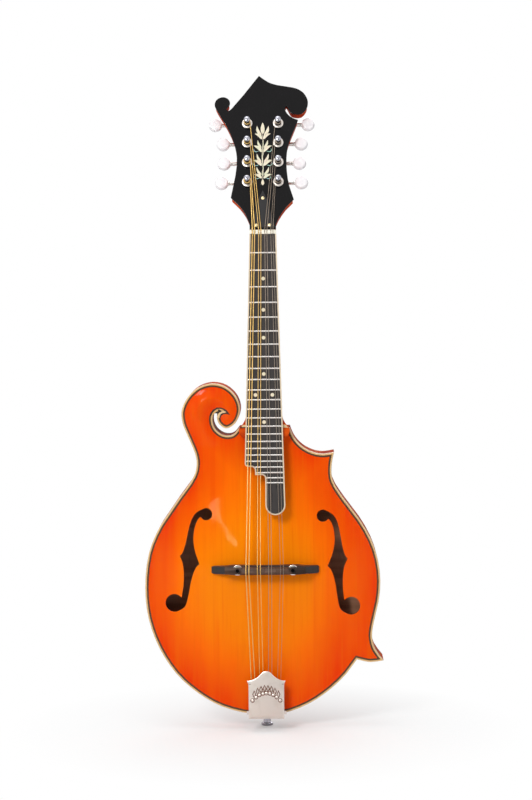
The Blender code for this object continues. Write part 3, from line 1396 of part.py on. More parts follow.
def string_route(course, lane, side, row):
    """Points in the world along one string: tail loop, saddle, nut, post winding and post hole."""
    radius = STRING_RADIUS[course]
    tail_x = string_lanes(TAIL_PAIRS, TAIL_SPREAD)[lane]
    loop_radius = HOOK_RADIUS + radius + GAP + 0.1
    loop_n = HOOK_BASE + BASE_THICK + HOOK_STRING
    route = []
    for i in range(LOOP_STEPS + 1):
        angle = math.radians(LOOP_START + (LOOP_END - LOOP_START) * i / LOOP_STEPS)
        x = tail_x + loop_radius * math.cos(angle)
        route.append(BODY @ Vector((x, hook_row(lane) + loop_radius * math.sin(angle), loop_n)))
    route.append(BODY @ Vector((tail_x, hook_row(lane) + 4.0 * loop_radius, loop_n + loop_radius / 2)))
    saddle_x = string_lanes(SADDLE_PAIRS, SADDLE_SPREAD)[lane]
    route.append(BODY @ Vector((saddle_x, BRIDGE_V + RIDGE_OFFSETS[course], SADDLE_TOP + radius + GAP)))
    nut_x = string_lanes(NUT_PAIRS, NUT_SPREAD)[lane]
    route.append(NECK @ Vector((nut_x, GAP, STRING_LIFT + radius)))
    route.append(NECK @ Vector((nut_x, NUT_LENGTH - GAP, STRING_LIFT + radius - NUT_BACK_DROP)))
    post = Vector((side * POST_COLUMN, POST_FIRST + POST_PITCH * row))
    start = PEGHEAD.inverted() @ route[-1]
    away = Vector((start.x, start.y)) - post
    wind = WAIST_RADIUS + radius + GAP
    touch = math.atan2(away.y, away.x) - side * math.acos(wind / away.length)
    if side > 0 and touch < 0.0:
        touch += 2.0 * math.pi
    turns = TURNS[course]
    end = (math.pi if side > 0 else 0.0) - side * 2.0 * math.pi * turns
    steps = TURN_POINTS * turns
    rise = winding_pitch(course) * turns
    for i in range(steps + 1):
        share = i / steps
        angle = touch + (end - touch) * share
        x = post.x + wind * math.cos(angle)
        v = post.y + wind * math.sin(angle)
        route.append(PEGHEAD @ Vector((x, v, WINDING_LOW + rise * share)))
    route.append(PEGHEAD @ Vector((post.x, post.y, hole_height(course))))
    return route


def least_gap(route, radius):
    """Least clear space between parts of a string more than half a turn apart along it."""
    least = 1e9
    for i, a in enumerate(route):
        for b in route[i + TURN_POINTS // 2 + 1:]:
            least = min(least, (a - b).length - 2.0 * radius)
    return least


def make_strings():
    """The eight strings; prints the least gap of any to itself."""
    gaps = []
    for name, course, lane, side, row in strings():
        route = string_route(course, lane, side, row)
        gaps.append(least_gap(route, STRING_RADIUS[course]))
        curve = bpy.data.curves.new("string_" + name, "CURVE")
        curve.dimensions = "3D"
        curve.bevel_depth = STRING_RADIUS[course] * MM
        curve.bevel_resolution = 1
        curve.use_fill_caps = True
        line = curve.splines.new("POLY")
        line.points.add(len(route) - 1)
        for point, spot in zip(line.points, route):
            point.co = (*(spot * MM), 1.0)
        curve.materials.append(bronze() if course < 2 else steel())
        bpy.context.scene.collection.objects.link(bpy.data.objects.new("string_" + name, curve))
    print("least gap of a string to itself: %.2f mm" % min(gaps))


def main():
    """Clear the scene and make every piece."""
    for old in list(bpy.data.objects):
        bpy.data.objects.remove(old, do_unlink=True)
    make_plates()
    make_bindings()
    make_rim()
    make_blocks()
    make_tone_bars()
    make_fingerboard()
    make_neck()
    make_truss_rod()
    make_peghead_face()
    make_nut()
    make_tuner_plates()
    make_tuners()
    make_bridge()
    make_tailpiece()
    make_strings()


main()
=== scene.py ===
"""Finishes and fine forms of an f-style mandolin, made over its packed solids.

The file is laid out as an add-on. Inside the makers lengths are in millimetres, in frames of
(x, v, n): across, up and out to the front. They are turned to metres where a mesh is made.
"""
import math

import bmesh
import bpy
import numpy
from bpy.props import FloatProperty, FloatVectorProperty, IntProperty, PointerProperty
from mathutils import Matrix, Vector
from mathutils.geometry import delaunay_2d_cdt


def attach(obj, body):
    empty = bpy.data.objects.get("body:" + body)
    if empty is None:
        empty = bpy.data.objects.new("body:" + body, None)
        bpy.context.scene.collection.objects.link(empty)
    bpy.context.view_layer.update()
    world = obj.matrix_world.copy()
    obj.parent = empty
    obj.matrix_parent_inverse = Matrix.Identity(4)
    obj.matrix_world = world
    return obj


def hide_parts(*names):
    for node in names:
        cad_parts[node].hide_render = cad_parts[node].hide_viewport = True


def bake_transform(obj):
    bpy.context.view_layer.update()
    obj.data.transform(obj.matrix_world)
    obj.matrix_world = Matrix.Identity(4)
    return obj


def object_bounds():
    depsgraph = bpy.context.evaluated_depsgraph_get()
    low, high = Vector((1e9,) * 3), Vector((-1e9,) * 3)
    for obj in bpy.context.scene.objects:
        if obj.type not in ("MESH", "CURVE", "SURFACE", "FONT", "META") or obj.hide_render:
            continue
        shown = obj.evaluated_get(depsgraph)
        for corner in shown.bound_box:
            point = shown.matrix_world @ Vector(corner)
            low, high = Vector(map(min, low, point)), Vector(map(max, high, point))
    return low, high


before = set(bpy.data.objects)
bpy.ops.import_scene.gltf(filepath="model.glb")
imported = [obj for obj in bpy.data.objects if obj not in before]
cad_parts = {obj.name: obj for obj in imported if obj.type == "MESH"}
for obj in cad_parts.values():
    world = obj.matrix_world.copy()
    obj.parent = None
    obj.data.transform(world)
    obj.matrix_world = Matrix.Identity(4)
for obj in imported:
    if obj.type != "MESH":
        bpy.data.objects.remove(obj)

bl_info = {
    "name": "Mandolin finishes",
    "version": (1, 0, 0),
    "blender": (4, 5, 0),
    "location": "View3D > Sidebar > Mandolin",
    "description": "Dresses the solids of an f-style mandolin with fine forms and procedural finishes",
    "category": "Object",
}

MM = 0.001
ROOT = "instrument"
SOLIDS_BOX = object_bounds()


def colour_property(name, description, default):
    """A colour in linear light."""
    return FloatVectorProperty(name=name, description=description, subtype="COLOR", size=3, min=0.0, max=1.0,
                               default=default)


def length_property(name, description, default):
    """A length, given here in millimetres and held in metres."""
    return FloatProperty(name=name, description=description, subtype="DISTANCE", unit="LENGTH", min=0.0,
                         precision=5, default=default * MM)


class BodySettings(bpy.types.PropertyGroup):
    """Sizes and colours of the body and its plates."""

    burst_middle: colour_property("Burst middle", "Top's colour round the bridge", (0.86, 0.215, 0.001))
    burst_ring: colour_property("Burst ring", "Top's colour halfway to its edge", (0.86, 0.125, 0.001))
    burst_edge: colour_property("Burst edge", "Top's colour along its edge", (0.74, 0.038, 0.001))
    maple_pale: colour_property("Maple pale", "Pale stripes of the back, rim and neck", (0.66, 0.085, 0.008))
    maple_dark: colour_property("Maple dark", "Dark stripes of the back, rim and neck", (0.38, 0.030, 0.004))
    binding: colour_property("Binding", "Cream binding of the body", (0.74, 0.52, 0.28))
    binding_inner: colour_property("Binding's inner line", "Golden line inside the cream", (0.55, 0.30, 0.10))
    purfling: colour_property("Purfling", "Dark lines beside the binding", (0.035, 0.022, 0.014))
    hole_edge: colour_property("Sound-hole edge", "Stained edge of the sound holes", (0.06, 0.02, 0.008))
    arch_height: length_property("Arch height", "Top's height over its edge, at the middle", 11.5)
    back_height: length_property("Back height", "Back's height over its edge, at the middle", 9.0)
    binding_width: length_property("Binding width", "Binding with its purfling, seen from the front", 3.7)
    plate_spacing: length_property("Plate spacing", "Distance between the points of a plate's mesh", 3.0)


class NeckSettings(bpy.types.PropertyGroup):
    """Sizes and colours of the neck, fingerboard and peghead."""

    board: colour_property("Board", "Fingerboard's ebony", (0.030, 0.026, 0.025))
    board_edge: colour_property("Board edge", "Cream binding of the fingerboard", (0.74, 0.60, 0.43))
    lacquer: colour_property("Lacquer", "Black lacquer of the peghead's face", (0.003, 0.0027, 0.003))
    pearl: colour_property("Pearl", "Ornament and dots", (0.76, 0.70, 0.52))
    bone: colour_property("Bone", "Nut", (0.86, 0.82, 0.70))
    fret_width: length_property("Fret width", "Width of a fret's crown", 1.7)
    fret_height: length_property("Fret height", "Height of a fret over the board", 0.9)
    dot_radius: length_property("Dot radius", "Radius of a position dot", 2.0)
    dot_side: length_property("Dot side", "Distance of the twin dots from the middle", 9.0)


class HardwareSettings(bpy.types.PropertyGroup):
    """Sizes and colours of the metal, the buttons and the bridge."""

    nickel: colour_property("Nickel", "Tuners, thumbwheels and end pin", (0.74, 0.71, 0.68))
    satin: colour_property("Satin nickel", "Tailpiece", (0.72, 0.66, 0.61))
    plain_wire: colour_property("Plain wire", "Treble strings", (0.40, 0.32, 0.25))
    wound_wire: colour_property("Wound wire", "Bass strings", (0.80, 0.53, 0.18))
    button: colour_property("Button", "Pearly plastic of the buttons", (0.84, 0.82, 0.84))
    ebony: colour_property("Ebony", "Foot of the bridge", (0.022, 0.019, 0.02))
    rosewood: colour_property("Rosewood", "Saddle of the bridge", (0.075, 0.042, 0.030))
    knob_radius: length_property("Knob radius", "Radius of a post's head", 3.3)
    screw_radius: length_property("Screw radius", "Radius of the small screws' heads", 1.8)


class StageSettings(bpy.types.PropertyGroup):
    """Camera, floor and lamps."""

    distance: FloatProperty(name="Distance", description="Camera to the point that it looks at", default=2.4,
                            unit="LENGTH")
    pitch: FloatProperty(name="Pitch", description="Camera's tilt down", default=math.radians(3.36),
                         subtype="ANGLE")
    turn: FloatProperty(name="Turn", description="Camera's place round the treble side",
                        default=math.radians(1.0), subtype="ANGLE")
    roll: FloatProperty(name="Roll", description="Roll of the picture", default=math.radians(-0.476),
                        subtype="ANGLE")
    focal: IntProperty(name="Focal length", description="Focal length in pixels of the picture", default=2258,
                       subtype="PIXEL")
    floor: colour_property("Floor", "Floor under the instrument", (0.95, 0.96, 0.97))


SETTINGS = {
    "mandolin_body": BodySettings, "mandolin_neck": NeckSettings, "mandolin_hardware": HardwareSettings,
    "mandolin_stage": StageSettings,
}
PICTURE = (532, 800)


def settings(group):
    """The scene's settings of one group: body, neck, hardware or stage."""
    return getattr(bpy.context.scene, "mandolin_" + group)


# Shader expressions

class Wire:
    """An output socket that adds a Math node when it is used in an expression."""

    def __init__(self, nodes, socket):
        self.nodes = nodes
        self.socket = socket

    def math(self, operation, *terms):
        return self.nodes.node("ShaderNodeMath", {"operation": operation}, dict(enumerate(terms)))

    def __add__(self, other):
        return self.math("ADD", self, other)

    def __radd__(self, other):
        return self.math("ADD", other, self)

    def __sub__(self, other):
        return self.math("SUBTRACT", self, other)

    def __rsub__(self, other):
        return self.math("SUBTRACT", other, self)

    def __mul__(self, other):
        return self.math("MULTIPLY", self, other)

    def __rmul__(self, other):
        return self.math("MULTIPLY", other, self)

    def sine(self):
        return self.math("SINE", self)

    def over(self, low, high):
        """Rise from 0 to 1 as the value goes from low to high."""
        values = {"Value": self, "From Min": low, "From Max": high}
        return self.nodes.node("ShaderNodeMapRange", {"clamp": True}, values)


class Nodes:
    """The nodes of one tree."""

    def __init__(self, tree):
        self.tree = tree

    def fill(self, socket, value):
        """Link a wire to a socket, or set the socket's own value."""
        if isinstance(value, Wire):
            self.tree.links.new(value.socket, socket)
        elif socket.type == "RGBA":
            socket.default_value = (*value, 1.0)
        else:
            socket.default_value = value

    def node(self, kind, settings=None, values=None, out=0):
        """Add a node: its settings first, then the values or links of its sockets."""
        made = self.tree.nodes.new(kind)
        for key, value in (settings or {}).items():
            setattr(made, key, value)
        for key, value in (values or {}).items():
            self.fill(made.inputs[key], value)
        return Wire(self, made.outputs[out])


class Finish(Nodes):
    """A Principled material whose varying inputs are written as expressions."""

    def __init__(self, name, colour=(0.8, 0.8, 0.8), rough=0.5, **values):
        self.material = bpy.data.materials.new(name + "_finish")
        self.material.use_nodes = True
        super().__init__(self.material.node_tree)
        self.shader = self.tree.nodes["Principled BSDF"]
        self.put("Base Color", colour)
        self.put("Roughness", rough)
        for name, value in values.items():
            self.put(name.replace("_", " ").title().replace("Ior", "IOR"), value)

    def put(self, name, value):
        """Set or link one of the shader's inputs."""
        self.fill(self.shader.inputs[name], value)

    def noise(self, scale, stretch=(1.0, 1.0, 1.0), detail=3.0, distortion=0.0):
        """Noise over the piece's own coordinates in metres; scale counts its cells in a metre."""
        place = self.node("ShaderNodeTexCoord", out="Object")
        place = self.node("ShaderNodeMapping", None, {"Vector": place, "Scale": stretch})
        values = {"Vector": place, "Scale": scale, "Detail": detail, "Distortion": distortion}
        return self.node("ShaderNodeTexNoise", None, values)

    def carried(self, name):
        """A number that the mesh carries at its points."""
        return self.node("ShaderNodeAttribute", {"attribute_name": name}, None, "Fac")

    def blend(self, share, low, high):
        """Mix two colours."""
        return self.node("ShaderNodeMix", {"data_type": "RGBA"}, {0: share, 6: low, 7: high}, 2)

    def steps(self, value, *colours):
        """Blend through colours evenly as the value goes from 0 to 1."""
        spans = len(colours) - 1
        mixed = colours[0]
        for i, colour in enumerate(colours[1:]):
            mixed = self.blend(value.over(i / spans, (i + 1) / spans), mixed, colour)
        return mixed

    def bump(self, height, distance, strength=1.0):
        """Raise the surface by a height of 0 to 1 times a distance in millimetres."""
        values = {"Height": height, "Distance": distance * MM, "Strength": strength}
        self.put("Normal", self.node("ShaderNodeBump", None, values))


# Finishes

MADE = {}


def once(maker):
    """Make a finish the first time that it is asked for, and reuse it."""
    def ask():
        if maker.__name__ not in MADE:
            MADE[maker.__name__] = maker()
        return MADE[maker.__name__].material
    return ask


@once
def sunburst_spruce():
    """Shaded top: amber middle, red-orange edge, upright spruce grain under gloss."""
    look = settings("body")
    made = Finish("sunburst_spruce", coat_weight=0.11, coat_roughness=0.04, specular_ior_level=0.0)
    lines = made.noise(420.0, (1.0, 0.4, 0.012), 2.0, 0.4)
    silk = made.noise(60.0, (1.0, 1.0, 0.12), 3.0)
    wide = made.noise(170.0, (1.0, 0.4, 0.02), 3.0, 0.3)
    cloud = made.noise(16.0, (1.0, 1.0, 0.35), 3.0)
    # The carried number holds the sunburst and, towards the lower treble side, painted shade.
    burst = made.carried("burst") + cloud * 0.30 + wide * 0.10 - 0.20
    colour = made.steps(burst, look.burst_middle, look.burst_ring, look.burst_edge)
    shade = [0.86 * channel for channel in look.burst_middle]
    colour = made.blend(lines.over(0.50, 0.72) * 0.30, colour, (shade[0], shade[1] * 0.6, shade[2]))
    colour = made.blend(wide.over(0.52, 0.70) * 0.22, colour, look.burst_edge)
    made.put("Base Color", made.blend(silk.over(0.35, 0.7) * 0.12, colour, (0.95, 0.32, 0.002)))
    made.put("Roughness", 0.16 + lines * 0.08)
    made.bump(lines, 0.03, 0.35)
    return made


@once
def hole_edge():
    """Dark stained edge of the sound holes; it also colours the screws' slots, where it is painted shade."""
    made = Finish("hole_edge")
    stain = made.noise(90.0, (1.0, 1.0, 0.3))
    dark = [0.5 * channel for channel in settings("body").hole_edge]
    made.put("Base Color", made.blend(stain, settings("body").hole_edge, dark))
    made.put("Roughness", 0.4 + stain * 0.25)
    made.bump(stain, 0.05)
    return made


def flamed(name, stretch, pale, dark, rough):
    """Maple with bands of curl across its grain."""
    made = Finish(name, coat_weight=0.08, coat_roughness=0.06, specular_ior_level=0.0)
    curl = made.noise(75.0, stretch, 2.0, 0.6)
    pores = made.noise(900.0, (0.3, 1.0, 0.06), 2.0)
    cloud = made.noise(12.0, (1.0, 1.0, 1.0), 2.0)
    colour = made.blend(curl.over(0.36, 0.62), dark, pale)
    colour = made.blend(cloud.over(0.4, 0.75) * 0.35, colour, dark)
    made.put("Base Color", made.blend(pores.over(0.6, 0.8) * 0.35, colour, [0.4 * channel for channel in dark]))
    made.put("Roughness", rough + pores * 0.06)
    made.bump(curl, 0.04, 0.3)
    return made


@once
def red_maple():
    """Back and neck: bands lie across the instrument."""
    look = settings("body")
    return flamed("red_maple", (0.10, 0.5, 1.4), look.maple_pale, look.maple_dark, 0.2)


@once
def rim_maple():
    """Rim: bands stand from the top plate to the back plate."""
    look = settings("body")
    return flamed("rim_maple", (1.3, 0.12, 1.3), look.maple_pale, look.maple_dark, 0.2)


@once
def bare_maple():
    """Unfinished maple of the blocks."""
    return flamed("bare_maple", (0.2, 0.5, 1.2), (0.62, 0.44, 0.26), (0.50, 0.33, 0.18), 0.6)


@once
def inside_maple():
    """Unstained maple of the back's inner face, darkened by age."""
    return flamed("inside_maple", (0.10, 0.5, 1.4), (0.60, 0.31, 0.19), (0.42, 0.20, 0.12), 0.6)


@once
def bare_spruce():
    """Unfinished spruce of the tone bars."""
    made = Finish("bare_spruce")
    lines = made.noise(420.0, (1.0, 0.4, 0.012), 2.0)
    made.put("Base Color", made.blend(lines.over(0.45, 0.7), (0.66, 0.48, 0.27), (0.50, 0.32, 0.15)))
    made.put("Roughness", 0.6 + lines * 0.15)
    made.bump(lines, 0.05)
    return made


@once
def edge_binding():
    """Cream binding with its lines of purfling, ruled by the distance from the edge."""
    look = settings("body")
    made = Finish("edge_binding", coat_weight=0.1, coat_roughness=0.08, specular_ior_level=0.2)
    across = made.carried("across")
    tone = made.noise(30.0, (1.0, 1.0, 1.0), 3.0)
    cream = made.blend(tone, look.binding, [0.86 * channel for channel in look.binding])
    cream = made.blend(across.over(0.20, 0.45), cream, look.binding_inner)
    outer = across.over(0.50, 0.53)
    inner = across.over(0.82, 0.84)
    middle = across.over(0.75, 0.77) * (1.0 - inner)
    cream = made.blend(outer, cream, look.purfling)
    made.put("Base Color", made.blend(middle, cream, (0.20, 0.10, 0.04)))
    made.put("Roughness", 0.2 + tone * 0.1)
    made.bump(tone, 0.02)
    return made


@once
def board_binding():
    """Cream strip round the fingerboard."""
    look = settings("neck")
    made = Finish("board_binding", coat_weight=0.2)
    tone = made.noise(60.0, (1.0, 1.0, 0.2), 3.0)
    made.put("Base Color", made.blend(tone, look.board_edge, [0.82 * channel for channel in look.board_edge]))
    made.put("Roughness", 0.25 + tone * 0.15)
    made.bump(tone, 0.02)
    return made


@once
def board_ebony():
    """Dry ebony with fine pores along the neck."""
    look = settings("neck")
    made = Finish("board_ebony", specular_ior_level=0.22)
    pores = made.noise(1100.0, (1.0, 1.0, 0.04), 3.0)
    streak = made.noise(70.0, (1.0, 1.0, 0.10), 2.0)
    colour = made.blend(streak, look.board, [1.7 * channel for channel in look.board])
    made.put("Base Color", made.blend(pores.over(0.6, 0.75), colour, (0.008, 0.007, 0.007)))
    made.put("Roughness", 0.34 + pores * 0.2)
    made.bump(pores, 0.03, 0.6)
    return made


@once
def bridge_ebony():
    """Polished foot of the bridge, with its grain across."""
    look = settings("hardware")
    made = Finish("bridge_ebony", specular_ior_level=0.2)
    pores = made.noise(700.0, (0.05, 1.0, 1.0), 3.0)
    made.put("Base Color", made.blend(pores, look.ebony, [1.9 * channel for channel in look.ebony]))
    made.put("Roughness", 0.24 + pores * 0.2)
    made.bump(pores, 0.03, 0.5)
    return made


@once
def saddle_rosewood():
    """Brown saddle with darker lines of grain, and dark past the treble wheel."""
    look = settings("hardware")
    made = Finish("saddle_rosewood", specular_ior_level=0.2)
    lines = made.noise(320.0, (0.06, 1.0, 1.0), 4.0, 0.5)
    dark = [0.3 * channel for channel in look.rosewood]
    colour = made.steps(lines.over(0.3, 0.7), dark, look.rosewood, [1.8 * channel for channel in look.rosewood])
    place = made.node("ShaderNodeTexCoord", out="Object")
    across = made.node("ShaderNodeSeparateXYZ", None, {0: place}, "X")
    made.put("Base Color", made.blend(across.over(0.0255, 0.0300), colour, dark))
    made.put("Roughness", 0.35 + lines * 0.2)
    made.bump(lines, 0.04, 0.5)
    return made


@once
def black_lacquer():
    """Deep gloss with a little haze from polishing."""
    look = settings("neck")
    made = Finish("black_lacquer", coat_weight=0.35, coat_roughness=0.03, specular_ior_level=0.0)
    haze = made.noise(40.0, (1.0, 1.0, 1.0), 4.0)
    dust = made.noise(1500.0, (1.0, 1.0, 1.0), 2.0)
    colour = made.blend(haze, look.lacquer, [2.0 * channel for channel in look.lacquer])
    made.put("Base Color", made.blend(dust.over(0.72, 0.78) * 0.3, colour, (0.10, 0.095, 0.095)))
    made.put("Roughness", 0.16 + haze * 0.12)
    made.bump(haze, 0.02, 0.2)
    return made


@once
def cover_black():
    """Satin black plate of the truss rod's cover."""
    made = Finish("cover_black", specular_ior_level=0.15)
    grain = made.noise(1300.0, (1.0, 1.0, 1.0), 3.0)
    scuff = made.noise(80.0, (1.0, 1.0, 0.3), 3.0)
    made.put("Base Color", made.blend(scuff, (0.020, 0.019, 0.020), (0.034, 0.032, 0.033)))
    made.put("Roughness", 0.32 + grain * 0.12)
    made.bump(grain, 0.015, 0.5)
    return made


@once
def mother_of_pearl():
    """Pearl with faint green and rose clouds."""
    look = settings("neck")
    made = Finish("mother_of_pearl", coat_weight=0.5, coat_roughness=0.08)
    cloud = made.noise(260.0, (1.0, 1.0, 0.5), 4.0, 1.2)
    fleck = made.noise(700.0, (1.0, 1.0, 0.4), 2.0, 0.8)
    colour = made.steps(cloud.over(0.25, 0.75), (0.58, 0.62, 0.42), look.pearl, (0.80, 0.62, 0.50))
    made.put("Base Color", made.blend(fleck.over(0.55, 0.7) * 0.4, colour, (0.90, 0.88, 0.76)))
    made.put("Roughness", 0.15 + fleck * 0.2)
    made.bump(cloud, 0.02, 0.4)
    return made


@once
def green_shell():
    """Shell that turns from green to blue."""
    made = Finish("green_shell", coat_weight=0.3, coat_roughness=0.08)
    cloud = made.noise(420.0, (1.0, 1.0, 0.6), 4.0, 1.5)
    sea = (0.20, 0.42, 0.40)
    made.put("Base Color", made.steps(cloud.over(0.3, 0.7), sea, (0.42, 0.66, 0.50), (0.24, 0.36, 0.62)))
    made.put("Roughness", 0.15 + cloud * 0.2)
    made.bump(cloud, 0.02, 0.4)
    return made


@once
def nut_bone():
    """Polished bone with short pores."""
    look = settings("neck")
    made = Finish("nut_bone")
    pores = made.noise(900.0, (0.3, 1.0, 1.0), 3.0)
    worn = [0.8 * channel for channel in look.bone]
    made.put("Base Color", made.blend(pores.over(0.4, 0.7), look.bone, worn))
    made.put("Roughness", 0.3 + pores * 0.2)
    made.bump(pores, 0.02)
    return made


@once
def button_pearl():
    """Pearly plastic with soft swirls."""
    look = settings("hardware")
    made = Finish("button_pearl", coat_weight=0.6, coat_roughness=0.06)
    swirl = made.noise(150.0, (1.0, 0.6, 1.0), 4.0, 2.2)
    veil = made.noise(60.0, (1.0, 1.0, 1.0), 2.0, 1.0)
    colour = made.steps(swirl.over(0.25, 0.75), (0.76, 0.74, 0.78), look.button, (0.90, 0.88, 0.88))
    made.put("Base Color", made.blend(veil.over(0.5, 0.8) * 0.35, colour, (0.84, 0.72, 0.73)))
    made.put("Roughness", 0.18 + swirl * 0.15)
    made.bump(swirl, 0.015, 0.2)
    return made


def plated(name, colour, rough, scale, wear, depth=0.01):
    """Plated metal with fine scratches and a little tarnish."""
    made = Finish(name, metallic=1.0)
    scratch = made.noise(scale, (1.0, 1.0, 0.15), 4.0)
    stain = made.noise(110.0, (1.0, 1.0, 1.0), 3.0)
    tarnish = [channel * tint for channel, tint in zip(colour, (0.62, 0.55, 0.48))]
    made.put("Base Color", made.blend(stain.over(0.5, 0.85) * wear, colour, tarnish))
    made.put("Roughness", rough + scratch * 0.12 + stain * 0.06)
    made.bump(scratch, depth, 0.4)
    return made


@once
def bright_nickel():
    """Tuners, thumbwheels, frets and end pin."""
    return plated("bright_nickel", settings("hardware").nickel, 0.14, 1400.0, 0.5)


@once
def post_nickel():
    """Posts: bright at their gears, and painted near black where they stand out of the peghead's face, a painted
    reflection of the black face.
    """
    made = plated("post_nickel", settings("hardware").nickel, 0.14, 1400.0, 0.5)
    worn = Wire(made, made.shader.inputs["Base Color"].links[0].from_socket)
    out = (PEGHEAD @ Vector((0.0, 0.0, 1.0, 0.0))).to_3d()
    place = made.node("ShaderNodeTexCoord", out="Object")
    place = made.node("ShaderNodeVectorMath", {"operation": "DOT_PRODUCT"}, {0: place, 1: out}, 1)
    face = PEGHEAD.translation.dot(out) * MM
    # Painted reflection: the shafts in front of the face take a near-black colour for the black lacquer that they
    # reflect.
    made.put("Base Color", made.blend(place.over(face - 2.0 * MM, face + 1.0 * MM), worn, (0.045, 0.040, 0.040)))
    return made


@once
def knob_nickel():
    """Posts' knobs and the end pin: nickel painted darker and bluer, a painted reflection of dark surroundings."""
    return plated("knob_nickel", (0.40, 0.40, 0.45), 0.10, 1400.0, 0.6)


@once
def satin_nickel():
    """Tailpiece and tuner plates."""
    return plated("satin_nickel", settings("hardware").satin, 0.30, 1600.0, 0.35, 0.03)


@once
def plain_wire():
    """Drawn steel."""
    return plated("plain_wire", settings("hardware").plain_wire, 0.25, 3000.0, 0.3)


@once
def wound_wire():
    """Bronze wrap, ruled by the distance along the string in metres."""
    made = plated("wound_wire", settings("hardware").wound_wire, 0.28, 2500.0, 0.5)
    wrap = made.carried("along") * (2.0 * math.pi / 0.00036)
    made.bump(wrap.sine() * 0.5 + 0.5, 0.06, 0.8)
    return made


@once
def gilt():
    """Yellow metal of the small screws."""
    return plated("gilt", (0.90, 0.74, 0.42), 0.2, 1500.0, 0.3)


@once
def dark_steel():
    """Bridge studs painted near black: painted shade of the bores in which they stand."""
    return plated("dark_steel", (0.008, 0.007, 0.007), 0.35, 1200.0, 0.4)


@once
def dull_seat():
    """Dark brown painted shade round raised metal and in slits."""
    return plated("dull_seat", (0.20, 0.10, 0.07), 0.45, 900.0, 0.6)


# Frames, curves and outlines

GAP = 0.3
NECK_ANGLE = 4.5
PEGHEAD_ANGLE = 20.5


def leaning(angle, origin):
    """Matrix from (x, v, n) to the world for a plane that leans back by an angle in degrees."""
    lean = math.radians(angle)
    columns = (Vector((1.0, 0.0, 0.0)), Vector((0.0, math.sin(lean), math.cos(lean))),
               Vector((0.0, -math.cos(lean), math.sin(lean))), Vector(origin))
    matrix = Matrix.Identity(4)
    for i, column in enumerate(columns):
        for row in range(3):
            matrix[row][i] = column[row]
    return matrix


BODY = leaning(0.0, (0.0, 0.0, 0.0))
NECK = leaning(NECK_ANGLE, (0.0, -4.0, 0.0))
PEGHEAD = leaning(PEGHEAD_ANGLE, (0.0, -1.0, 5.3))


def smooth(points, turn=6.0):
    """A centripetal Catmull-Rom curve through points, with one step for each turn of so many degrees."""
    pts = [Vector(p) for p in points]
    pts = [pts[0] * 2 - pts[1]] + pts + [pts[-1] * 2 - pts[-2]]
    made = []
    for a, b, c, d in zip(pts, pts[1:], pts[2:], pts[3:]):
        knots = [0.0]
        for p, q in ((a, b), (b, c), (c, d)):
            knots.append(knots[-1] + math.sqrt((q - p).length))
        t0, t1, t2, t3 = knots

        def at(t):
            ab = a * ((t1 - t) / (t1 - t0)) + b * ((t - t0) / (t1 - t0))
            bc = b * ((t2 - t) / (t2 - t1)) + c * ((t - t1) / (t2 - t1))
            cd = c * ((t3 - t) / (t3 - t2)) + d * ((t - t2) / (t3 - t2))
            left = ab * ((t2 - t) / (t2 - t0)) + bc * ((t - t0) / (t2 - t0))
            right = bc * ((t3 - t) / (t3 - t1)) + cd * ((t - t1) / (t3 - t1))
            return left * ((t2 - t) / (t2 - t1)) + right * ((t - t1) / (t2 - t1))

        small = (t2 - t1) * 0.02
        bend = (at(t1 + small) - at(t1)).angle(at(t2) - at(t2 - small), 0.0)
        steps = max(1, math.ceil(math.degrees(bend) / turn))
        made += [at(t1 + (t2 - t1) * i / steps) for i in range(steps)]
    made.append(pts[-2])
    return [tuple(p) for p in made]


def even(points, step):
    """Points at even steps along an open run, both ends kept."""
    spots = numpy.array(points, float)
    along = numpy.concatenate([[0.0], numpy.cumsum(numpy.linalg.norm(numpy.diff(spots, axis=0), axis=1))])
    count = max(2, int(round(along[-1] / step)) + 1)
    marks = numpy.linspace(0.0, along[-1], count)
    return [tuple(p) for p in zip(*(numpy.interp(marks, along, spots[:, k]) for k in range(spots.shape[1])))]


def clearances(points, loop):
    """Distance of each point from a closed outline."""
    spots = numpy.array(points, float)
    starts = numpy.array(loop, float)
    runs = numpy.roll(starts, -1, axis=0) - starts
    nearest = numpy.full(len(spots), 1e9)
    for start, run in zip(starts, runs):
        away = spots - start
        along = numpy.clip(away @ run / max(run @ run, 1e-12), 0.0, 1.0)
        nearest = numpy.minimum(nearest, numpy.hypot(*(away - numpy.outer(along, run)).T))
    return nearest


def inside(points, loop):
    """Whether each point lies inside a closed outline."""
    x, v = numpy.array(points, float).T
    found = numpy.zeros(len(x), bool)
    for a, b in zip(loop, loop[1:] + loop[:1]):
        if a[1] != b[1]:
            crosses = (v < max(a[1], b[1])) & (v >= min(a[1], b[1]))
            found ^= crosses & (x < a[0] + (v - a[1]) * (b[0] - a[0]) / (b[1] - a[1]))
    return found


def offset(points, distance, ends=False):
    """Move a closed anticlockwise outline in; with ends, the run is open and its ends stay square."""
    count = len(points)
    moved = []
    for i in range(count):
        here = Vector(points[i])
        before = here - Vector(points[i - 1])
        after = Vector(points[(i + 1) % count]) - here
        if ends and i == 0:
            before = after
        if ends and i == count - 1:
            after = before
        left = Vector((-before.y, before.x)).normalized()
        right = Vector((-after.y, after.x)).normalized()
        mean = (left + right).normalized()
        moved.append(tuple(here + mean * distance / max(mean.dot(left), 0.35)))
    return moved


def inset(points, distance):
    """Offset of a closed outline; points that a sharp corner swallows gather on that corner's own point."""
    moved = offset(points, distance)
    corners = []
    for i in range(len(points)):
        before = Vector(points[i]) - Vector(points[i - 1])
        after = Vector(points[(i + 1) % len(points)]) - Vector(points[i])
        if math.degrees(before.angle(after)) > 40.0:
            corners.append(i)
    short = clearances(moved, points) < distance * 0.97
    for i in range(len(points)):
        if short[i] and i not in corners and corners:
            moved[i] = moved[min(corners, key=lambda c: abs(c - i))]
    return moved


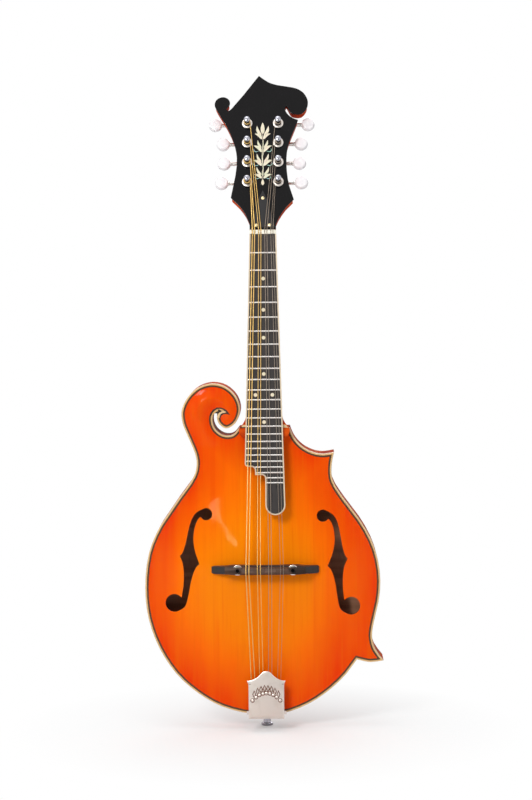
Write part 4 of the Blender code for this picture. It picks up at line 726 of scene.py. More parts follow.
def arc(centre, radius, start, end, steps):
    """Points of an arc between two angles in degrees, without its ends."""
    angles = [math.radians(start + (end - start) * i / steps) for i in range(1, steps)]
    return [(centre[0] + radius * math.cos(a), centre[1] + radius * math.sin(a)) for a in angles]


def circle(x, v, radius, sides=32):
    """Points of a circle, anticlockwise."""
    return arc((x, v), radius, 0.0, 360.0, sides) + [(x + radius, v)]


def grid(loop, holes, step):
    """Evenly spaced points inside an outline, clear of its edge and of the holes."""
    xs = numpy.arange(min(p[0] for p in loop), max(p[0] for p in loop), step)
    vs = numpy.arange(min(p[1] for p in loop), max(p[1] for p in loop), step * 0.87)
    spots = numpy.array([(x + (step / 2 if row % 2 else 0.0), v) for row, v in enumerate(vs) for x in xs])
    keep = inside(spots, loop)
    for edge in [loop] + list(holes):
        keep &= clearances(spots, edge) > step * 0.5
    for hole in holes:
        keep &= ~inside(spots, hole)
    return [tuple(p) for p in spots[keep]]


# Meshes

def flat(n):
    """A level surface for slab()."""
    return lambda x, v: numpy.full(len(x), float(n))


def slab(outline, holes, front, back, filling=(), sides=None, bevel=0.0):
    """Fill an outline less its holes between two surfaces; walls take the finish number that sides gives."""
    loops = [outline] + list(holes)
    points = []
    edges = []
    for loop in loops:
        base = len(points)
        points += [Vector(p) for p in loop]
        edges += [(base + i, base + (i + 1) % len(loop)) for i in range(len(loop))]
    points += [Vector(p) for p in filling]
    flat_points, _, faces, *_ = delaunay_2d_cdt(points, edges, [], 1, 0.0001)
    spots = numpy.array([tuple(p) for p in flat_points])
    middles = numpy.array([spots[list(face)].mean(axis=0) for face in faces])
    keep = numpy.ones(len(faces), bool)
    for hole in holes:
        keep &= ~inside(middles, hole)
    bm = bmesh.new()
    high = front(spots[:, 0], spots[:, 1])
    low = back(spots[:, 0], spots[:, 1])
    fronts = [bm.verts.new((x, v, n)) for (x, v), n in zip(spots, high)]
    backs = [bm.verts.new((x, v, n)) for (x, v), n in zip(spots, low)]
    rims = {}
    for face, kept in zip(faces, keep):
        if kept:
            bm.faces.new([fronts[i] for i in face])
            bm.faces.new([backs[i] for i in reversed(face)])
            for i, j in zip(face, face[1:] + face[:1]):
                rims[(i, j)] = True
    for i, j in rims:
        if (j, i) not in rims:
            wall = bm.faces.new((fronts[j], fronts[i], backs[i], backs[j]))
            wall.material_index = sides or 0
    bmesh.ops.delete(bm, geom=[v for v in bm.verts if not v.link_faces], context="VERTS")
    if bevel:
        rounded(bm, bevel)
    return bm


def rounded(bm, width, angle=50.0, segments=2):
    """Round the sharp edges of a mesh."""
    bmesh.ops.recalc_face_normals(bm, faces=bm.faces)
    sharp = [e for e in bm.edges if len(e.link_faces) == 2 and e.calc_face_angle(0.0) > math.radians(angle)]
    bmesh.ops.bevel(bm, geom=sharp, offset=width, segments=segments, profile=0.5, affect="EDGES",
                    clamp_overlap=True)


def loft(rings, closed=False, caps=True, bm=None, values=None, name="across"):
    """Skin a run of equal rings; values give each point of a ring the number that the finish reads."""
    bm = bm or bmesh.new()
    if values is not None:
        layer = bm.verts.layers.float.new(name)
    made = [[bm.verts.new(p) for p in ring] for ring in rings]
    if values is not None:
        for number, ring in enumerate(made):
            for vert, value in zip(ring, values(number) if callable(values) else values):
                vert[layer] = value
    count = len(made[0])
    pairs = list(zip(made, made[1:] + made[:1] if closed else made[1:]))
    for low, high in pairs:
        for i in range(count):
            j = (i + 1) % count
            bm.faces.new((low[i], low[j], high[j], high[i]))
    if caps and not closed:
        bm.faces.new(reversed(made[0]))
        bm.faces.new(made[-1])
    return bm


def lathe(profile, centre, axis, sides=48, bore=0.0, bm=None, wave=None):
    """Turn (radius, distance along the axis) pairs; bore opens it, and wave changes a radius by its angle."""
    turn = Vector((0.0, 0.0, 1.0)).rotation_difference(Vector(axis)).to_matrix()
    origin = Vector(centre)
    runs = list(profile)
    if bore:
        runs += [(bore, profile[-1][1]), (bore, profile[0][1])]
    rings = []
    for radius, along in runs:
        ring = []
        for i in range(sides):
            angle = 2.0 * math.pi * i / sides
            swell = radius * (wave(i, along) if wave and radius > bore else 1.0)
            ring.append(tuple(origin + turn @ Vector((swell * math.cos(angle), swell * math.sin(angle), along))))
        rings.append(ring)
    return loft(rings, closed=bool(bore), bm=bm)


def block(low, high, bm=None):
    """A block between two corners."""
    ring = [(low[0], low[1]), (high[0], low[1]), (high[0], high[1]), (low[0], high[1])]
    return loft([[(x, v, n) for x, v in ring] for n in (low[2], high[2])], bm=bm)


def tube(points, radius, sides=8, first=0, last=None):
    """A round tube along points in the world, or between two of them, which carries its length in metres."""
    spots = [Vector(p) for p in points]
    runs = [(b - a).normalized() for a, b in zip(spots, spots[1:])]
    lengths = [0.0]
    for a, b in zip(spots, spots[1:]):
        lengths.append(lengths[-1] + (b - a).length)
    across = runs[0].orthogonal().normalized()
    rings = []
    for i, spot in enumerate(spots):
        ahead = (runs[max(i - 1, 0)] + runs[min(i, len(runs) - 1)]).normalized()
        across = (across - ahead * across.dot(ahead)).normalized()
        other = ahead.cross(across)
        ring = []
        for k in range(sides):
            angle = 2.0 * math.pi * k / sides
            ring.append(tuple(spot + (across * math.cos(angle) + other * math.sin(angle)) * radius))
        rings.append(ring)
    last = len(rings) if last is None else last + 1
    return loft(rings[first:last], values=lambda number: [lengths[first + number] * MM] * sides, name="along")


def piece(name, bm, finishes, place_in=BODY, body=ROOT, replaces=(), sharp=40.0):
    """Make an object from millimetre geometry in a frame, let it ride on its body and stand for CAD nodes."""
    bm.transform(Matrix.Scale(MM, 4) @ place_in)
    bmesh.ops.remove_doubles(bm, verts=bm.verts, dist=0.000002)
    bmesh.ops.recalc_face_normals(bm, faces=bm.faces)
    mesh = bpy.data.meshes.new(name)
    bm.to_mesh(mesh)
    bm.free()
    for finish in finishes if isinstance(finishes, (list, tuple)) else [finishes]:
        mesh.materials.append(finish)
    mesh.shade_smooth()
    mesh.set_sharp_from_angle(angle=math.radians(sharp))
    made = bpy.data.objects.new(name, mesh)
    bpy.context.scene.collection.objects.link(made)
    step = made.modifiers.new("flat faces first", "WEIGHTED_NORMAL")
    step.keep_sharp = True
    if body:
        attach(made, body)
    if replaces:
        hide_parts(*replaces)
    return made


def carve(bm, cutter):
    """Cut one mesh by another, both in millimetres in the same frame; the cutter is used up."""
    shells = []
    for number, part in enumerate((bm, cutter)):
        bmesh.ops.recalc_face_normals(part, faces=part.faces)
        mesh = bpy.data.meshes.new("shell")
        part.to_mesh(mesh)
        part.free()
        shell = bpy.data.objects.new("shell", mesh)
        bpy.context.scene.collection.objects.link(shell)
        shells.append(shell)
    step = shells[0].modifiers.new("carve", "BOOLEAN")
    step.operation = "DIFFERENCE"
    step.solver = "EXACT"
    step.object = shells[1]
    graph = bpy.context.evaluated_depsgraph_get()
    made = bmesh.new()
    made.from_object(shells[0], graph)
    for shell in shells:
        mesh = shell.data
        bpy.data.objects.remove(shell)
        bpy.data.meshes.remove(mesh)
    return made


def dress(node, finish, bevel=0.0):
    """Give a CAD node a finish, and round its edges a little."""
    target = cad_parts[node]
    target.data.materials.clear()
    target.data.materials.append(finish)
    target.data.shade_smooth()
    target.data.set_sharp_from_angle(angle=math.radians(32.0))
    if bevel:
        step = target.modifiers.new("edges", "BEVEL")
        step.width = bevel * MM
        step.segments = 2
        step.limit_method = "ANGLE"
        step.angle_limit = math.radians(35.0)
        step.harden_normals = False


# Body

BODY_JOINT = -206.0
HEEL_HALF = 27.0
RIM_DEPTH = 34.0
RIM_THICK = 2.3
PLATE_EDGE = 4.5
PLATE_THIN = 3.4
TREBLE_SHOULDER = [(HEEL_HALF, BODY_JOINT), (31, -216), (40, -226.5), (52, -233), (63, -234.8), (74.3, -233)]
TREBLE_SIDE = [
    (74.3, -233), (71.7, -246), (72.5, -263), (85, -284), (101, -305.5), (113.5, -327.5), (120.5, -349),
    (123, -372), (121, -394), (116.3, -414), (113.7, -431), (116.8, -445), (126, -457.8),
]
POINT_EDGE = [(126, -457.8), (111, -459.6), (97.5, -456.5)]
BASS_SIDE = [
    (97.5, -456.5), (86, -472), (69.5, -488), (45, -504.5), (15, -515), (-16, -515), (-48, -507), (-74, -492),
    (-97, -471), (-115, -443), (-126, -412), (-129.5, -379), (-125, -340), (-112.3, -310.5), (-93, -282.5),
    (-75.5, -257), (-73, -240), (-79, -222), (-86.5, -204.5), (-88.6, -189), (-83, -175), (-71.3, -163.3),
    (-56.3, -158.7), (-41.5, -162), (-29.5, -173.5), (-25.8, -188), (-31.4, -201.6), (-41, -206.8),
    (-48.7, -201.6), (-50.8, -194.5), (-50.2, -191), (-52.8, -190), (-55.2, -194.5), (-55, -201.5),
    (-51.5, -208.5), (-43.5, -214), (-34, -213.6), (-HEEL_HALF, BODY_JOINT),
]
RIM_START = (-31.4, -201.6)
SCROLL_CENTRE = (-55.0, -185.0)
SCROLL_REACH = 42.0
SCROLL_RIDGE = 4.0
RIDGE_WIDTH = 6.0
CREASE = [
    (-71.3, -201.5, 0), (-72.6, -194, 0.6), (-72.7, -189.9, 1), (-71.9, -185.4, 1), (-68.9, -180.7, 1),
    (-65.8, -177.6, 1), (-62.1, -175.4, 1), (-57.8, -174.1, 0.9), (-52.4, -174.2, 0.7),
    (-48.1, -175.9, 0.45), (-42.8, -180.3, 0.2), (-39.6, -185.7, 0),
]
CREASE_RISE = 2.4
CREASE_WIDTH = 9.0
POINT_BASE = [
    (-58.1, -193.3), (-56.4, -189.3), (-53.7, -186.1), (-50.7, -184.3), (-46.8, -184.1), (-43, -185.3),
    (-39.8, -187.6), (-36.8, -192.2), (-40.6, -191.2), (-43.7, -191.6), (-45.9, -193.3), (-46.8, -195.5),
    (-50.3, -195.5), (-50.3, -190.6), (-54.5, -190.5), (-54.9, -193.3),
]
POINT_GOLD = [
    (-56.8, -193.3), (-55.2, -190.1), (-52.8, -187.5), (-50.2, -186), (-47, -185.6), (-44.3, -186.5),
    (-42.6, -187.6), (-45.3, -187.9), (-47.8, -187.6), (-50.5, -188.3), (-52.8, -190.1), (-54.6, -192.2),
    (-55.1, -193.3),
]
POINT_CREAM = [
    (-50.3, -195.5), (-50.4, -193.7), (-49.4, -191.4), (-47.7, -189.4), (-45.6, -188.1), (-42.7, -188),
    (-40.4, -189.1), (-42.2, -190), (-44.7, -190.2), (-46.7, -191.5), (-47.7, -193.4), (-48, -195.5),
]
HOLE_EASE = 0.4
EYE_UPPER = (-63.1, -298.5)
EYE_LOWER = (-98.0, -394.0)
EYE_UPPER_RADIUS = 6.1
EYE_LOWER_RADIUS = 9.2
HOLE_OUTER = [
    (-65.3, -292.8), (-73.4, -297), (-78.5, -304.5), (-81.9, -316), (-85.2, -330.5), (-88.5, -340),
    (-91.3, -343.5), (-88.6, -350), (-87.2, -361), (-87.8, -376), (-90, -389),
]
HOLE_INNER = [
    (-94, -402.3), (-87.5, -398.5), (-84.6, -391.5), (-82.4, -381.5), (-80.7, -372), (-78.2, -363),
    (-74.7, -355.5), (-71.2, -351.8), (-75.2, -340.5), (-77.3, -329), (-77.2, -320), (-75.1, -310),
    (-72, -303.8), (-68.8, -300.8),
]
HOLE_TREBLE_TURN = -3.0
HOLE_TREBLE_SHIFT = (-1.4, -2.4)


def body_outline():
    """The body's edge, anticlockwise from the bass side of the neck joint round to the treble side."""
    points = []
    for run in (TREBLE_SHOULDER, TREBLE_SIDE, POINT_EDGE, BASS_SIDE):
        points += even(smooth(run), 2.5)[:-1]
    points.append(BASS_SIDE[-1])
    return points[::-1]


def membrane(within, cell, pull, over, sweeps):
    """Solve a sheet held at the outline and loaded evenly, with an even pull back to zero."""
    sheet = numpy.zeros(within.shape)
    rows, columns = numpy.indices(within.shape)
    chosen = [within & ((rows + columns) % 2 == colour) for colour in (0, 1)]
    weight = 4.0 + pull * cell * cell
    for _ in range(sweeps):
        for some in chosen:
            near = numpy.zeros(within.shape)
            near[1:-1, 1:-1] = sheet[2:, 1:-1] + sheet[:-2, 1:-1] + sheet[1:-1, 2:] + sheet[1:-1, :-2]
            sheet[some] += over * ((near + cell * cell) / weight - sheet)[some]
    return sheet


def softened(field):
    """Even out the steps that a grid leaves along the outline."""
    for _ in range(2):
        middle = field[1:-1, 1:-1] * 4.0
        middle += field[2:, 1:-1] + field[:-2, 1:-1] + field[1:-1, 2:] + field[1:-1, :-2]
        field[1:-1, 1:-1] = middle / 8.0
    return field


class Arch:
    """Height of the carved surface over the flat edge, as a share from 0 to 1, with the scroll's ridge."""

    def __init__(self, loop, cell=2.0):
        self.cell = cell
        self.x0 = min(p[0] for p in loop) - 2 * cell
        self.v0 = min(p[1] for p in loop) - 2 * cell
        columns = int((max(p[0] for p in loop) - self.x0) / cell) + 4
        rows = int((max(p[1] for p in loop) - self.v0) / cell) + 4
        v, x = numpy.indices((rows, columns)) * cell
        x = x + self.x0
        v = v + self.v0
        within = inside(numpy.stack([x.ravel(), v.ravel()], axis=1), loop).reshape(x.shape)
        sheet = membrane(within, cell, 0.0, 1.95, 420)
        share = numpy.clip(sheet / sheet.max(), 0.0, 1.0)
        self.depth = share
        self.share = softened(0.5 + 0.5 * numpy.cos(math.pi * numpy.sqrt(1.0 - share)))
        pull = 1.0 / RIDGE_WIDTH ** 2
        ridge = membrane(within, cell, pull, 1.2, 420) * pull
        away = numpy.hypot(x - SCROLL_CENTRE[0], v - SCROLL_CENTRE[1]) / SCROLL_REACH
        fade = numpy.clip(1.6 - 1.6 * away, 0.0, 1.0)
        self.ridge = softened(ridge ** 2 * fade * fade * (3.0 - 2.0 * fade))

    def at(self, field, x, v):
        """Values of a field between its cells."""
        column = (numpy.asarray(x, float) - self.x0) / self.cell
        row = (numpy.asarray(v, float) - self.v0) / self.cell
        i = numpy.clip(row.astype(int), 0, field.shape[0] - 2)
        j = numpy.clip(column.astype(int), 0, field.shape[1] - 2)
        a = row - i
        b = column - j
        low = field[i, j] * (1 - b) + field[i, j + 1] * b
        high = field[i + 1, j] * (1 - b) + field[i + 1, j + 1] * b
        return low * (1 - a) + high * a

    def rise(self, x, v, height):
        return self.at(self.share, x, v) * height + self.at(self.ridge, x, v) * SCROLL_RIDGE


OUTLINE = body_outline()
PLATE_OUTLINE = inset(OUTLINE, 4.0)
ARCH = Arch(PLATE_OUTLINE)
BODY_END = min(p[1] for p in OUTLINE)


def crease(x, v):
    """Height of the fold that runs round the scroll: a tent along its line, fading at both ends."""
    spots = numpy.stack([numpy.atleast_1d(x), numpy.atleast_1d(v)], axis=1).astype(float)
    high = numpy.zeros(len(spots))
    for (x0, v0, share), (x1, v1, next_share) in zip(CREASE, CREASE[1:]):
        run = numpy.array((x1 - x0, v1 - v0))
        away = spots - (x0, v0)
        along = numpy.clip(away @ run / (run @ run), 0.0, 1.0)
        near = numpy.hypot(*(away - numpy.outer(along, run)).T)
        tent = numpy.clip(1.0 - near / CREASE_WIDTH, 0.0, 1.0)
        high = numpy.maximum(high, tent * (share + (next_share - share) * along))
    return high * CREASE_RISE


def top_front(x, v):
    """Front of the carved top."""
    return PLATE_EDGE + ARCH.rise(x, v, settings("body").arch_height / MM) + crease(x, v)


def thinning(x, v):
    """How much thinner than its edge a plate is inside it."""
    return (PLATE_EDGE - GAP - PLATE_THIN) * numpy.minimum(1.0, ARCH.rise(x, v, 12.0) / 3.0)


def top_back(x, v):
    """Inner face of the top."""
    return GAP + ARCH.rise(x, v, settings("body").arch_height / MM) + thinning(x, v)


def back_outer(x, v):
    """Outer face of the carved back."""
    return -RIM_DEPTH - PLATE_EDGE - ARCH.rise(x, v, settings("body").back_height / MM)


def back_inner(x, v):
    """Inner face of the back."""
    return -RIM_DEPTH - GAP - ARCH.rise(x, v, settings("body").back_height / MM) - thinning(x, v)


def sound_hole(treble):
    """The f-shaped hole: upper eye, outer edge, lower eye, inner edge; its notches keep their points."""
    notch_out = HOLE_OUTER.index((-91.3, -343.5))
    notch_in = HOLE_INNER.index((-71.2, -351.8))
    loop = arc(EYE_UPPER, EYE_UPPER_RADIUS, 202.0, 468.0, 26)
    loop += smooth(HOLE_OUTER[:notch_out + 1], 8.0)[:-1] + smooth(HOLE_OUTER[notch_out:], 8.0)
    loop += arc(EYE_LOWER, EYE_LOWER_RADIUS, 32.0, 295.0, 32)
    loop += smooth(HOLE_INNER[:notch_in + 1], 8.0)[:-1] + smooth(HOLE_INNER[notch_in:], 8.0)
    loop = offset(loop, -HOLE_EASE)
    if not treble:
        return loop
    turn = Matrix.Rotation(math.radians(HOLE_TREBLE_TURN), 2)
    made = []
    for x, v in loop:
        arm = turn @ Vector((EYE_UPPER[0] - x, v - EYE_UPPER[1]))
        made.append((-EYE_UPPER[0] + HOLE_TREBLE_SHIFT[0] + arm.x,
                     EYE_UPPER[1] + HOLE_TREBLE_SHIFT[1] + arm.y))
    return made


def shade(bm, loop):
    """Give each point the burst's number: 0 in the middle of the plate and 1 at its edge, raised towards the tail and
    the treble side, where part of it is painted shade.
    """
    layer = bm.verts.layers.float.new("burst")
    spots = [(vert.co.x, vert.co.y) for vert in bm.verts]
    for vert, (x, v), near in zip(bm.verts, spots, clearances(spots, loop)):
        edge = max(0.0, 1.0 - near / 75.0) ** 1.3
        # Towards the tail this is the burst's own spread; towards the treble side it is partly painted shade, darker
        # where the light from the upper left falls off.
        low = 0.12 * ((v + 315.0) / 95.0) ** 2 + 0.36 * (max(0.0, x + 20.0) / 95.0) ** 2
        vert[layer] = 1.0 - (1.0 - edge) * (1.0 - min(0.6, low))


def make_top():
    """Carved top with its two sound holes."""
    holes = [sound_hole(False), sound_hole(True)]
    outline = inset(OUTLINE, settings("body").binding_width / MM)
    filling = grid(outline, holes, settings("body").plate_spacing / MM)
    filling += even([(x, v) for x, v, _ in CREASE], 1.2)
    bm = slab(outline, holes, top_front, top_back, filling, sides=1)
    shade(bm, outline)
    piece("carved_top", bm, [sunburst_spruce(), hole_edge()], replaces=["top_plate"], sharp=50.0)
    curl = bmesh.new()
    layer = curl.verts.layers.float.new("across")
    for points, lift, across in ((POINT_BASE, 0.12, 0.6), (POINT_GOLD, 0.45, 0.4), (POINT_CREAM, 0.45, 0.0)):
        made = slab(points, [], lambda x, v: top_front(x, v) + lift, lambda x, v: top_front(x, v) - 0.4)
        mesh = bpy.data.meshes.new("curl")
        made.to_mesh(mesh)
        made.free()
        known = len(curl.verts)
        curl.from_mesh(mesh)
        bpy.data.meshes.remove(mesh)
        curl.verts.ensure_lookup_table()
        for vert in curl.verts[known:]:
            vert[layer] = across
    piece("scroll_point_inlay", curl, edge_binding())


def make_back():
    """Carved back."""
    outline = inset(OUTLINE, settings("body").binding_width / MM)
    filling = grid(outline, [], settings("body").plate_spacing / MM)
    bm = slab(outline, [], back_inner, back_outer, filling)
    bmesh.ops.recalc_face_normals(bm, faces=bm.faces)
    for face in bm.faces:
        face.material_index = 1 if face.normal.z > 0.5 else 0
    piece("carved_back", bm, [red_maple(), inside_maple()], replaces=["back_plate"], sharp=50.0)


def edge_strip(low, high):
    """Binding let into a plate's edge, rounded on its outer corner, with its finish ruled across it."""
    width = settings("body").binding_width / MM
    out = 1.0 if high > low else -1.0
    near = inset(OUTLINE, 0.25)
    next_in = inset(OUTLINE, 0.8)
    inner = inset(OUTLINE, width)
    rings = []
    for (x, v), a, b, c in zip(OUTLINE, near, next_in, inner):
        rings.append([(x, v, low), (x, v, high - out * 0.8), (*a, high - out * 0.25), (*b, high), (*c, high),
                      (*c, low)])
    return loft(rings, closed=True, values=[0.0, 0.0, 0.08, 0.22, 1.0, 1.0])


def make_bindings():
    """Cream strips with purfling round both plates."""
    piece("top_edge_binding", edge_strip(GAP, PLATE_EDGE), edge_binding(), replaces=["top_binding"])
    strip = edge_strip(-RIM_DEPTH - GAP, -RIM_DEPTH - PLATE_EDGE)
    piece("back_edge_binding", strip, edge_binding(), replaces=["back_binding"])


def nearest_index(point):
    """Index of the outline's point nearest to a point."""
    return min(range(len(OUTLINE)), key=lambda i: (Vector(OUTLINE[i]) - Vector(point)).length)


def make_rim():
    """The bent strip between the plates, with a lining glued along each of its edges."""
    first = nearest_index(RIM_START)
    thin = inset(OUTLINE, RIM_THICK)
    rings = []
    for i in range(first, len(OUTLINE)):
        rings.append([(*OUTLINE[i], 0.0), (*thin[i], 0.0), (*thin[i], -RIM_DEPTH), (*OUTLINE[i], -RIM_DEPTH)])
    piece("bent_rim", loft(rings), rim_maple(), replaces=["rim"])
    lined = inset(OUTLINE, 6.5)
    linings = bmesh.new()
    run = [i for i in range(first, len(OUTLINE)) if OUTLINE[i][1] < -250.0 and (
        OUTLINE[i][1] > BODY_END + 18.0 or abs(OUTLINE[i][0]) > 48.0)]
    spans = [[]]
    for i in run:
        if spans[-1] and i != spans[-1][-1] + 1:
            spans.append([])
        spans[-1].append(i)
    for span in spans:
        for base, out in ((0.0, -1.0), (-RIM_DEPTH, 1.0)):
            rings = [[(*thin[i], base), (*lined[i], base), (*thin[i], base + out * 9.0)] for i in span]
            loft(rings, bm=linings)
    piece("rim_linings", linings, bare_spruce())


def make_blocks():
    """Tail block, and the head block with the scroll's core."""
    wall = inset(OUTLINE, RIM_THICK + GAP)
    first = nearest_index(RIM_START)
    step = (Vector(OUTLINE[first - 1]) - Vector(OUTLINE[first])).normalized() * GAP
    loop = [tuple(Vector(wall[first]) + step), tuple(Vector(OUTLINE[first]) + step)]
    loop += OUTLINE[first - 1::-1]
    loop += [(-10.3, BODY_JOINT), (-12.3, BODY_JOINT - 14.3), (12.3, BODY_JOINT - 14.3), (10.3, BODY_JOINT)]
    treble = []
    for i in range(len(OUTLINE) - 1, 0, -1):
        if OUTLINE[i][0] > 46.0:
            break
        treble.append(wall[i])
    loop += [(HEEL_HALF - 2 * GAP, BODY_JOINT)] + treble
    bass = [p for p in wall[first + 1:] if p[1] >= -240.0 and p[0] < 0.0]
    loop += [(treble[-1][0], bass[-1][1])] + bass[::-1]
    bm = slab(loop, [], flat(-0.1), flat(0.1 - RIM_DEPTH))
    piece("scroll_core", bm, rim_maple(), replaces=["head_block"])
    dress("tail_block", bare_maple())
    for node in ("tone_bar_bass", "tone_bar_treble"):
        dress(node, bare_spruce(), 0.6)


# Neck, fingerboard and nut

SCALE_LENGTH = 352.4
FRET_COUNT = 24
DOTS = ((3, 1), (5, 1), (7, 1), (10, 1), (12, 2), (15, 1))
BOARD_THICK = 5.0
BOARD_NUT_HALF = 14.3
BOARD_TAPER = 0.0265
BOARD_BINDING = 1.4
BASS_END = -247.3
STEP_X = -10.0
STEP_END = -256.0
EXTENSION_X = 0.8
EXTENSION_CENTRE = -288.0
END_ROUND = 3.8
NUT_SURFACE = 4.0
NUT_LENGTH = 5.0
NUT_RISE = 2.0
NUT_BACK_DROP = 1.0
PEG_FACE = 1.0
PEG_THICK = 13.0
VENEER = 1.5
NECK_DEPTHS = ((0.0, 15.0, 2.2), (-83.0, 16.0, 2.2), (-166.0, 17.0, 2.2), (-178.0, 21.0, 2.1),
               (-186.0, 27.5, 2.0), (-193.0, 36.0, 1.9), (-199.0, 45.0, 1.8))
HEEL_FLARE = 14.0
HEEL_CAP = -RIM_DEPTH - PLATE_EDGE
BLOCK_LENGTH = 11.0
REST_CLEAR = 0.5
ROD_RADIUS = 2.4
ROD_NUT_RADIUS = 3.3
ROD_AXIS = -BOARD_THICK - 2 * GAP - ROD_RADIUS - 2.4
ROD_END = -196.0
POCKET = (8.0, 20.0)
NECK_SIDES = 28
TENON = ((-10.0, BODY_JOINT + 1.5), (-10.0, BODY_JOINT), (-12.0, BODY_JOINT - 14.0), (12.0, BODY_JOINT - 14.0),
         (10.0, BODY_JOINT), (10.0, BODY_JOINT + 1.5))


def board_half(v):
    """Half of the fingerboard's width."""
    return BOARD_NUT_HALF - BOARD_TAPER * v


def under_board(_, v):
    """The neck's top face in the body frame."""
    lean = math.radians(NECK_ANGLE)
    return NUT_SURFACE - v * math.tan(lean) - BOARD_THICK / math.cos(lean) - GAP


def peg_plane(v, depth):
    """Height in the body frame of a plane so deep behind the peghead's face."""
    lean = math.radians(PEGHEAD_ANGLE)
    return PEG_FACE - (v - NUT_LENGTH - GAP) * math.tan(lean) - depth / math.cos(lean)


def shaft_section(v, half, front, back, power):
    """Flat-topped section of the neck, fuller than an ellipse where the power is over 2."""
    ring = []
    for i in range(NECK_SIDES + 1):
        angle = math.pi * i / NECK_SIDES
        x = half * math.copysign(abs(math.cos(angle)) ** (2.0 / power), math.cos(angle))
        ring.append((x, v, front + (back - front) * max(0.0, math.sin(angle)) ** (2.0 / power)))
    return ring


def shaft_rings():
    """Sections from inside the peghead down to the heel's end at the body."""
    near = under_board(0.0, 0.0) - NECK_DEPTHS[0][1]
    backs = [(24.0, peg_plane(24.0, PEG_THICK) + 0.6), (16.0, peg_plane(16.0, PEG_THICK) + 0.3), (8.0, near)]
    backs += [(v, under_board(0.0, v) - depth) for v, depth, _ in NECK_DEPTHS]
    backs.append((BODY_JOINT + GAP, HEEL_CAP))
    powers = [(24.0, 5.0), (16.0, 4.0), (8.0, 2.6)] + [(v, power) for v, _, power in NECK_DEPTHS]
    powers.append((BODY_JOINT + GAP, 1.8))
    stations = [v for v, _ in powers][::-1]
    rings = []
    for v, back in even(smooth(backs, 3.0), 2.5):
        power = numpy.interp(v, stations, [p for _, p in powers][::-1])
        flare = max(0.0, (BODY_JOINT + HEEL_FLARE - v) / HEEL_FLARE)
        half = board_half(v) + (HEEL_HALF - board_half(BODY_JOINT)) * flare ** 2
        front = under_board(0.0, v)
        if v > NUT_LENGTH:
            half = numpy.interp(v, (NUT_LENGTH, 8.0, 16.0), (BOARD_NUT_HALF, BOARD_NUT_HALF - 0.4,
                                                             BOARD_NUT_HALF - 1.2))
            front = min(front, peg_plane(v, VENEER + 2 * GAP))
        rings.append(shaft_section(v, half, front, back, power))
    return rings


def rod_room(place_in):
    """Channel of the truss rod and the pocket of its nut, as cutters in another frame."""
    half = ROD_RADIUS + GAP
    wide = ROD_NUT_RADIUS + 0.8
    channel = block((-half, ROD_END - GAP, ROD_AXIS - half), (half, POCKET[0] + 0.5, 6.0))
    pocket = block((-wide, POCKET[0], ROD_AXIS - wide), (wide, POCKET[1], 6.0))
    for cutter in (channel, pocket):
        cutter.transform(place_in.inverted() @ NECK)
    return channel, pocket


def make_neck():
    """Shaft with its heel, dovetail, board rest and the wood of the peghead."""
    shaft = loft(shaft_rings())
    for cutter in rod_room(BODY):
        shaft = carve(shaft, cutter)
    piece("neck_shaft", shaft, red_maple(), replaces=["neck"], sharp=35.0)
    dovetail = slab(list(TENON), [], flat(-GAP), flat(GAP - RIM_DEPTH))
    piece("neck_dovetail", dovetail, bare_maple())
    holes = [circle(x, v, POST_RADIUS + GAP, 24) for _, _, x, v in post_places()]
    wood = slab(offset(peghead_outline(6.0), 1.0), holes, flat(-VENEER - GAP), flat(-PEG_THICK), bevel=0.5)
    piece("peghead_wood", carve(wood, rod_room(PEGHEAD)[1]), red_maple(), PEGHEAD)
    start = BODY_JOINT - 0.05
    inner = board_half(BODY_JOINT) - 1.5
    left = [(-inner, BODY_JOINT + 6.0), (-inner, start), (-HEEL_HALF, start)]
    left += [(-HEEL_HALF - 0.2, start - 3.0), (-HEEL_HALF + 0.9, start - 6.6), (-HEEL_HALF + 3.2, start - 9.4)]
    left.append((-inner - 2.0, BODY_JOINT - BLOCK_LENGTH))
    loop = left + [(-x, v) for x, v in reversed(left)]
    rest = slab(loop, [], under_board, lambda x, v: top_front(x, v) + REST_CLEAR, bevel=0.6)
    piece("board_rest", rest, red_maple())
    line = bmesh.new()
    for side in (-1, 1):
        for low, high, across in ((-205.5, -204.7, 0.6), (-204.7, -203.2, 0.0), (-203.2, -202.4, 0.6)):
            rings = []
            for x in (19.7, 23.0 + (-202.4 - high) * 1.1, 26.4):
                top = [float(under_board(x, v)) for v in (low, high)]
                rings.append([(side * x, low, top[0] - 0.6), (side * x, high, top[1] - 0.6),
                              (side * x, high, top[1] + 0.12), (side * x, low, top[1] + 0.12)])
            loft(rings[:2], bm=line, values=[across] * 4)
    piece("heel_line", line, edge_binding())


def make_truss_rod():
    """Rod and its nut, which are under the board and the cover."""
    dress("truss_rod", plain_wire())
    dress("truss_rod_nut", bright_nickel(), 0.25)


def board_outline():
    """Open run from the nut down the bass edge, round the stepped end and up the treble edge."""
    left = -board_half(BASS_END)
    corner = (left + END_ROUND, BASS_END + END_ROUND)
    first = (STEP_X - END_ROUND, BASS_END - END_ROUND)
    second = (EXTENSION_X - END_ROUND, STEP_END - END_ROUND)
    right = board_half(EXTENSION_CENTRE)
    middle = ((EXTENSION_X + right) / 2, EXTENSION_CENTRE)
    radius = (right - EXTENSION_X) / 2
    run = [(-BOARD_NUT_HALF, 0.0), (left, corner[1])]
    run += arc(corner, END_ROUND, 180, 270, 8) + [(corner[0], BASS_END)]
    run += [(first[0], BASS_END)] + arc(first, END_ROUND, 90, 0, 8)
    run += [(STEP_X, first[1]), (STEP_X, STEP_END)]
    run += [(second[0], STEP_END)] + arc(second, END_ROUND, 90, 0, 8) + [(EXTENSION_X, second[1])]
    run += [(EXTENSION_X, EXTENSION_CENTRE)] + arc(middle, radius, 180, 360, 28)
    return run + [(right, EXTENSION_CENTRE), (BOARD_NUT_HALF, 0.0)]


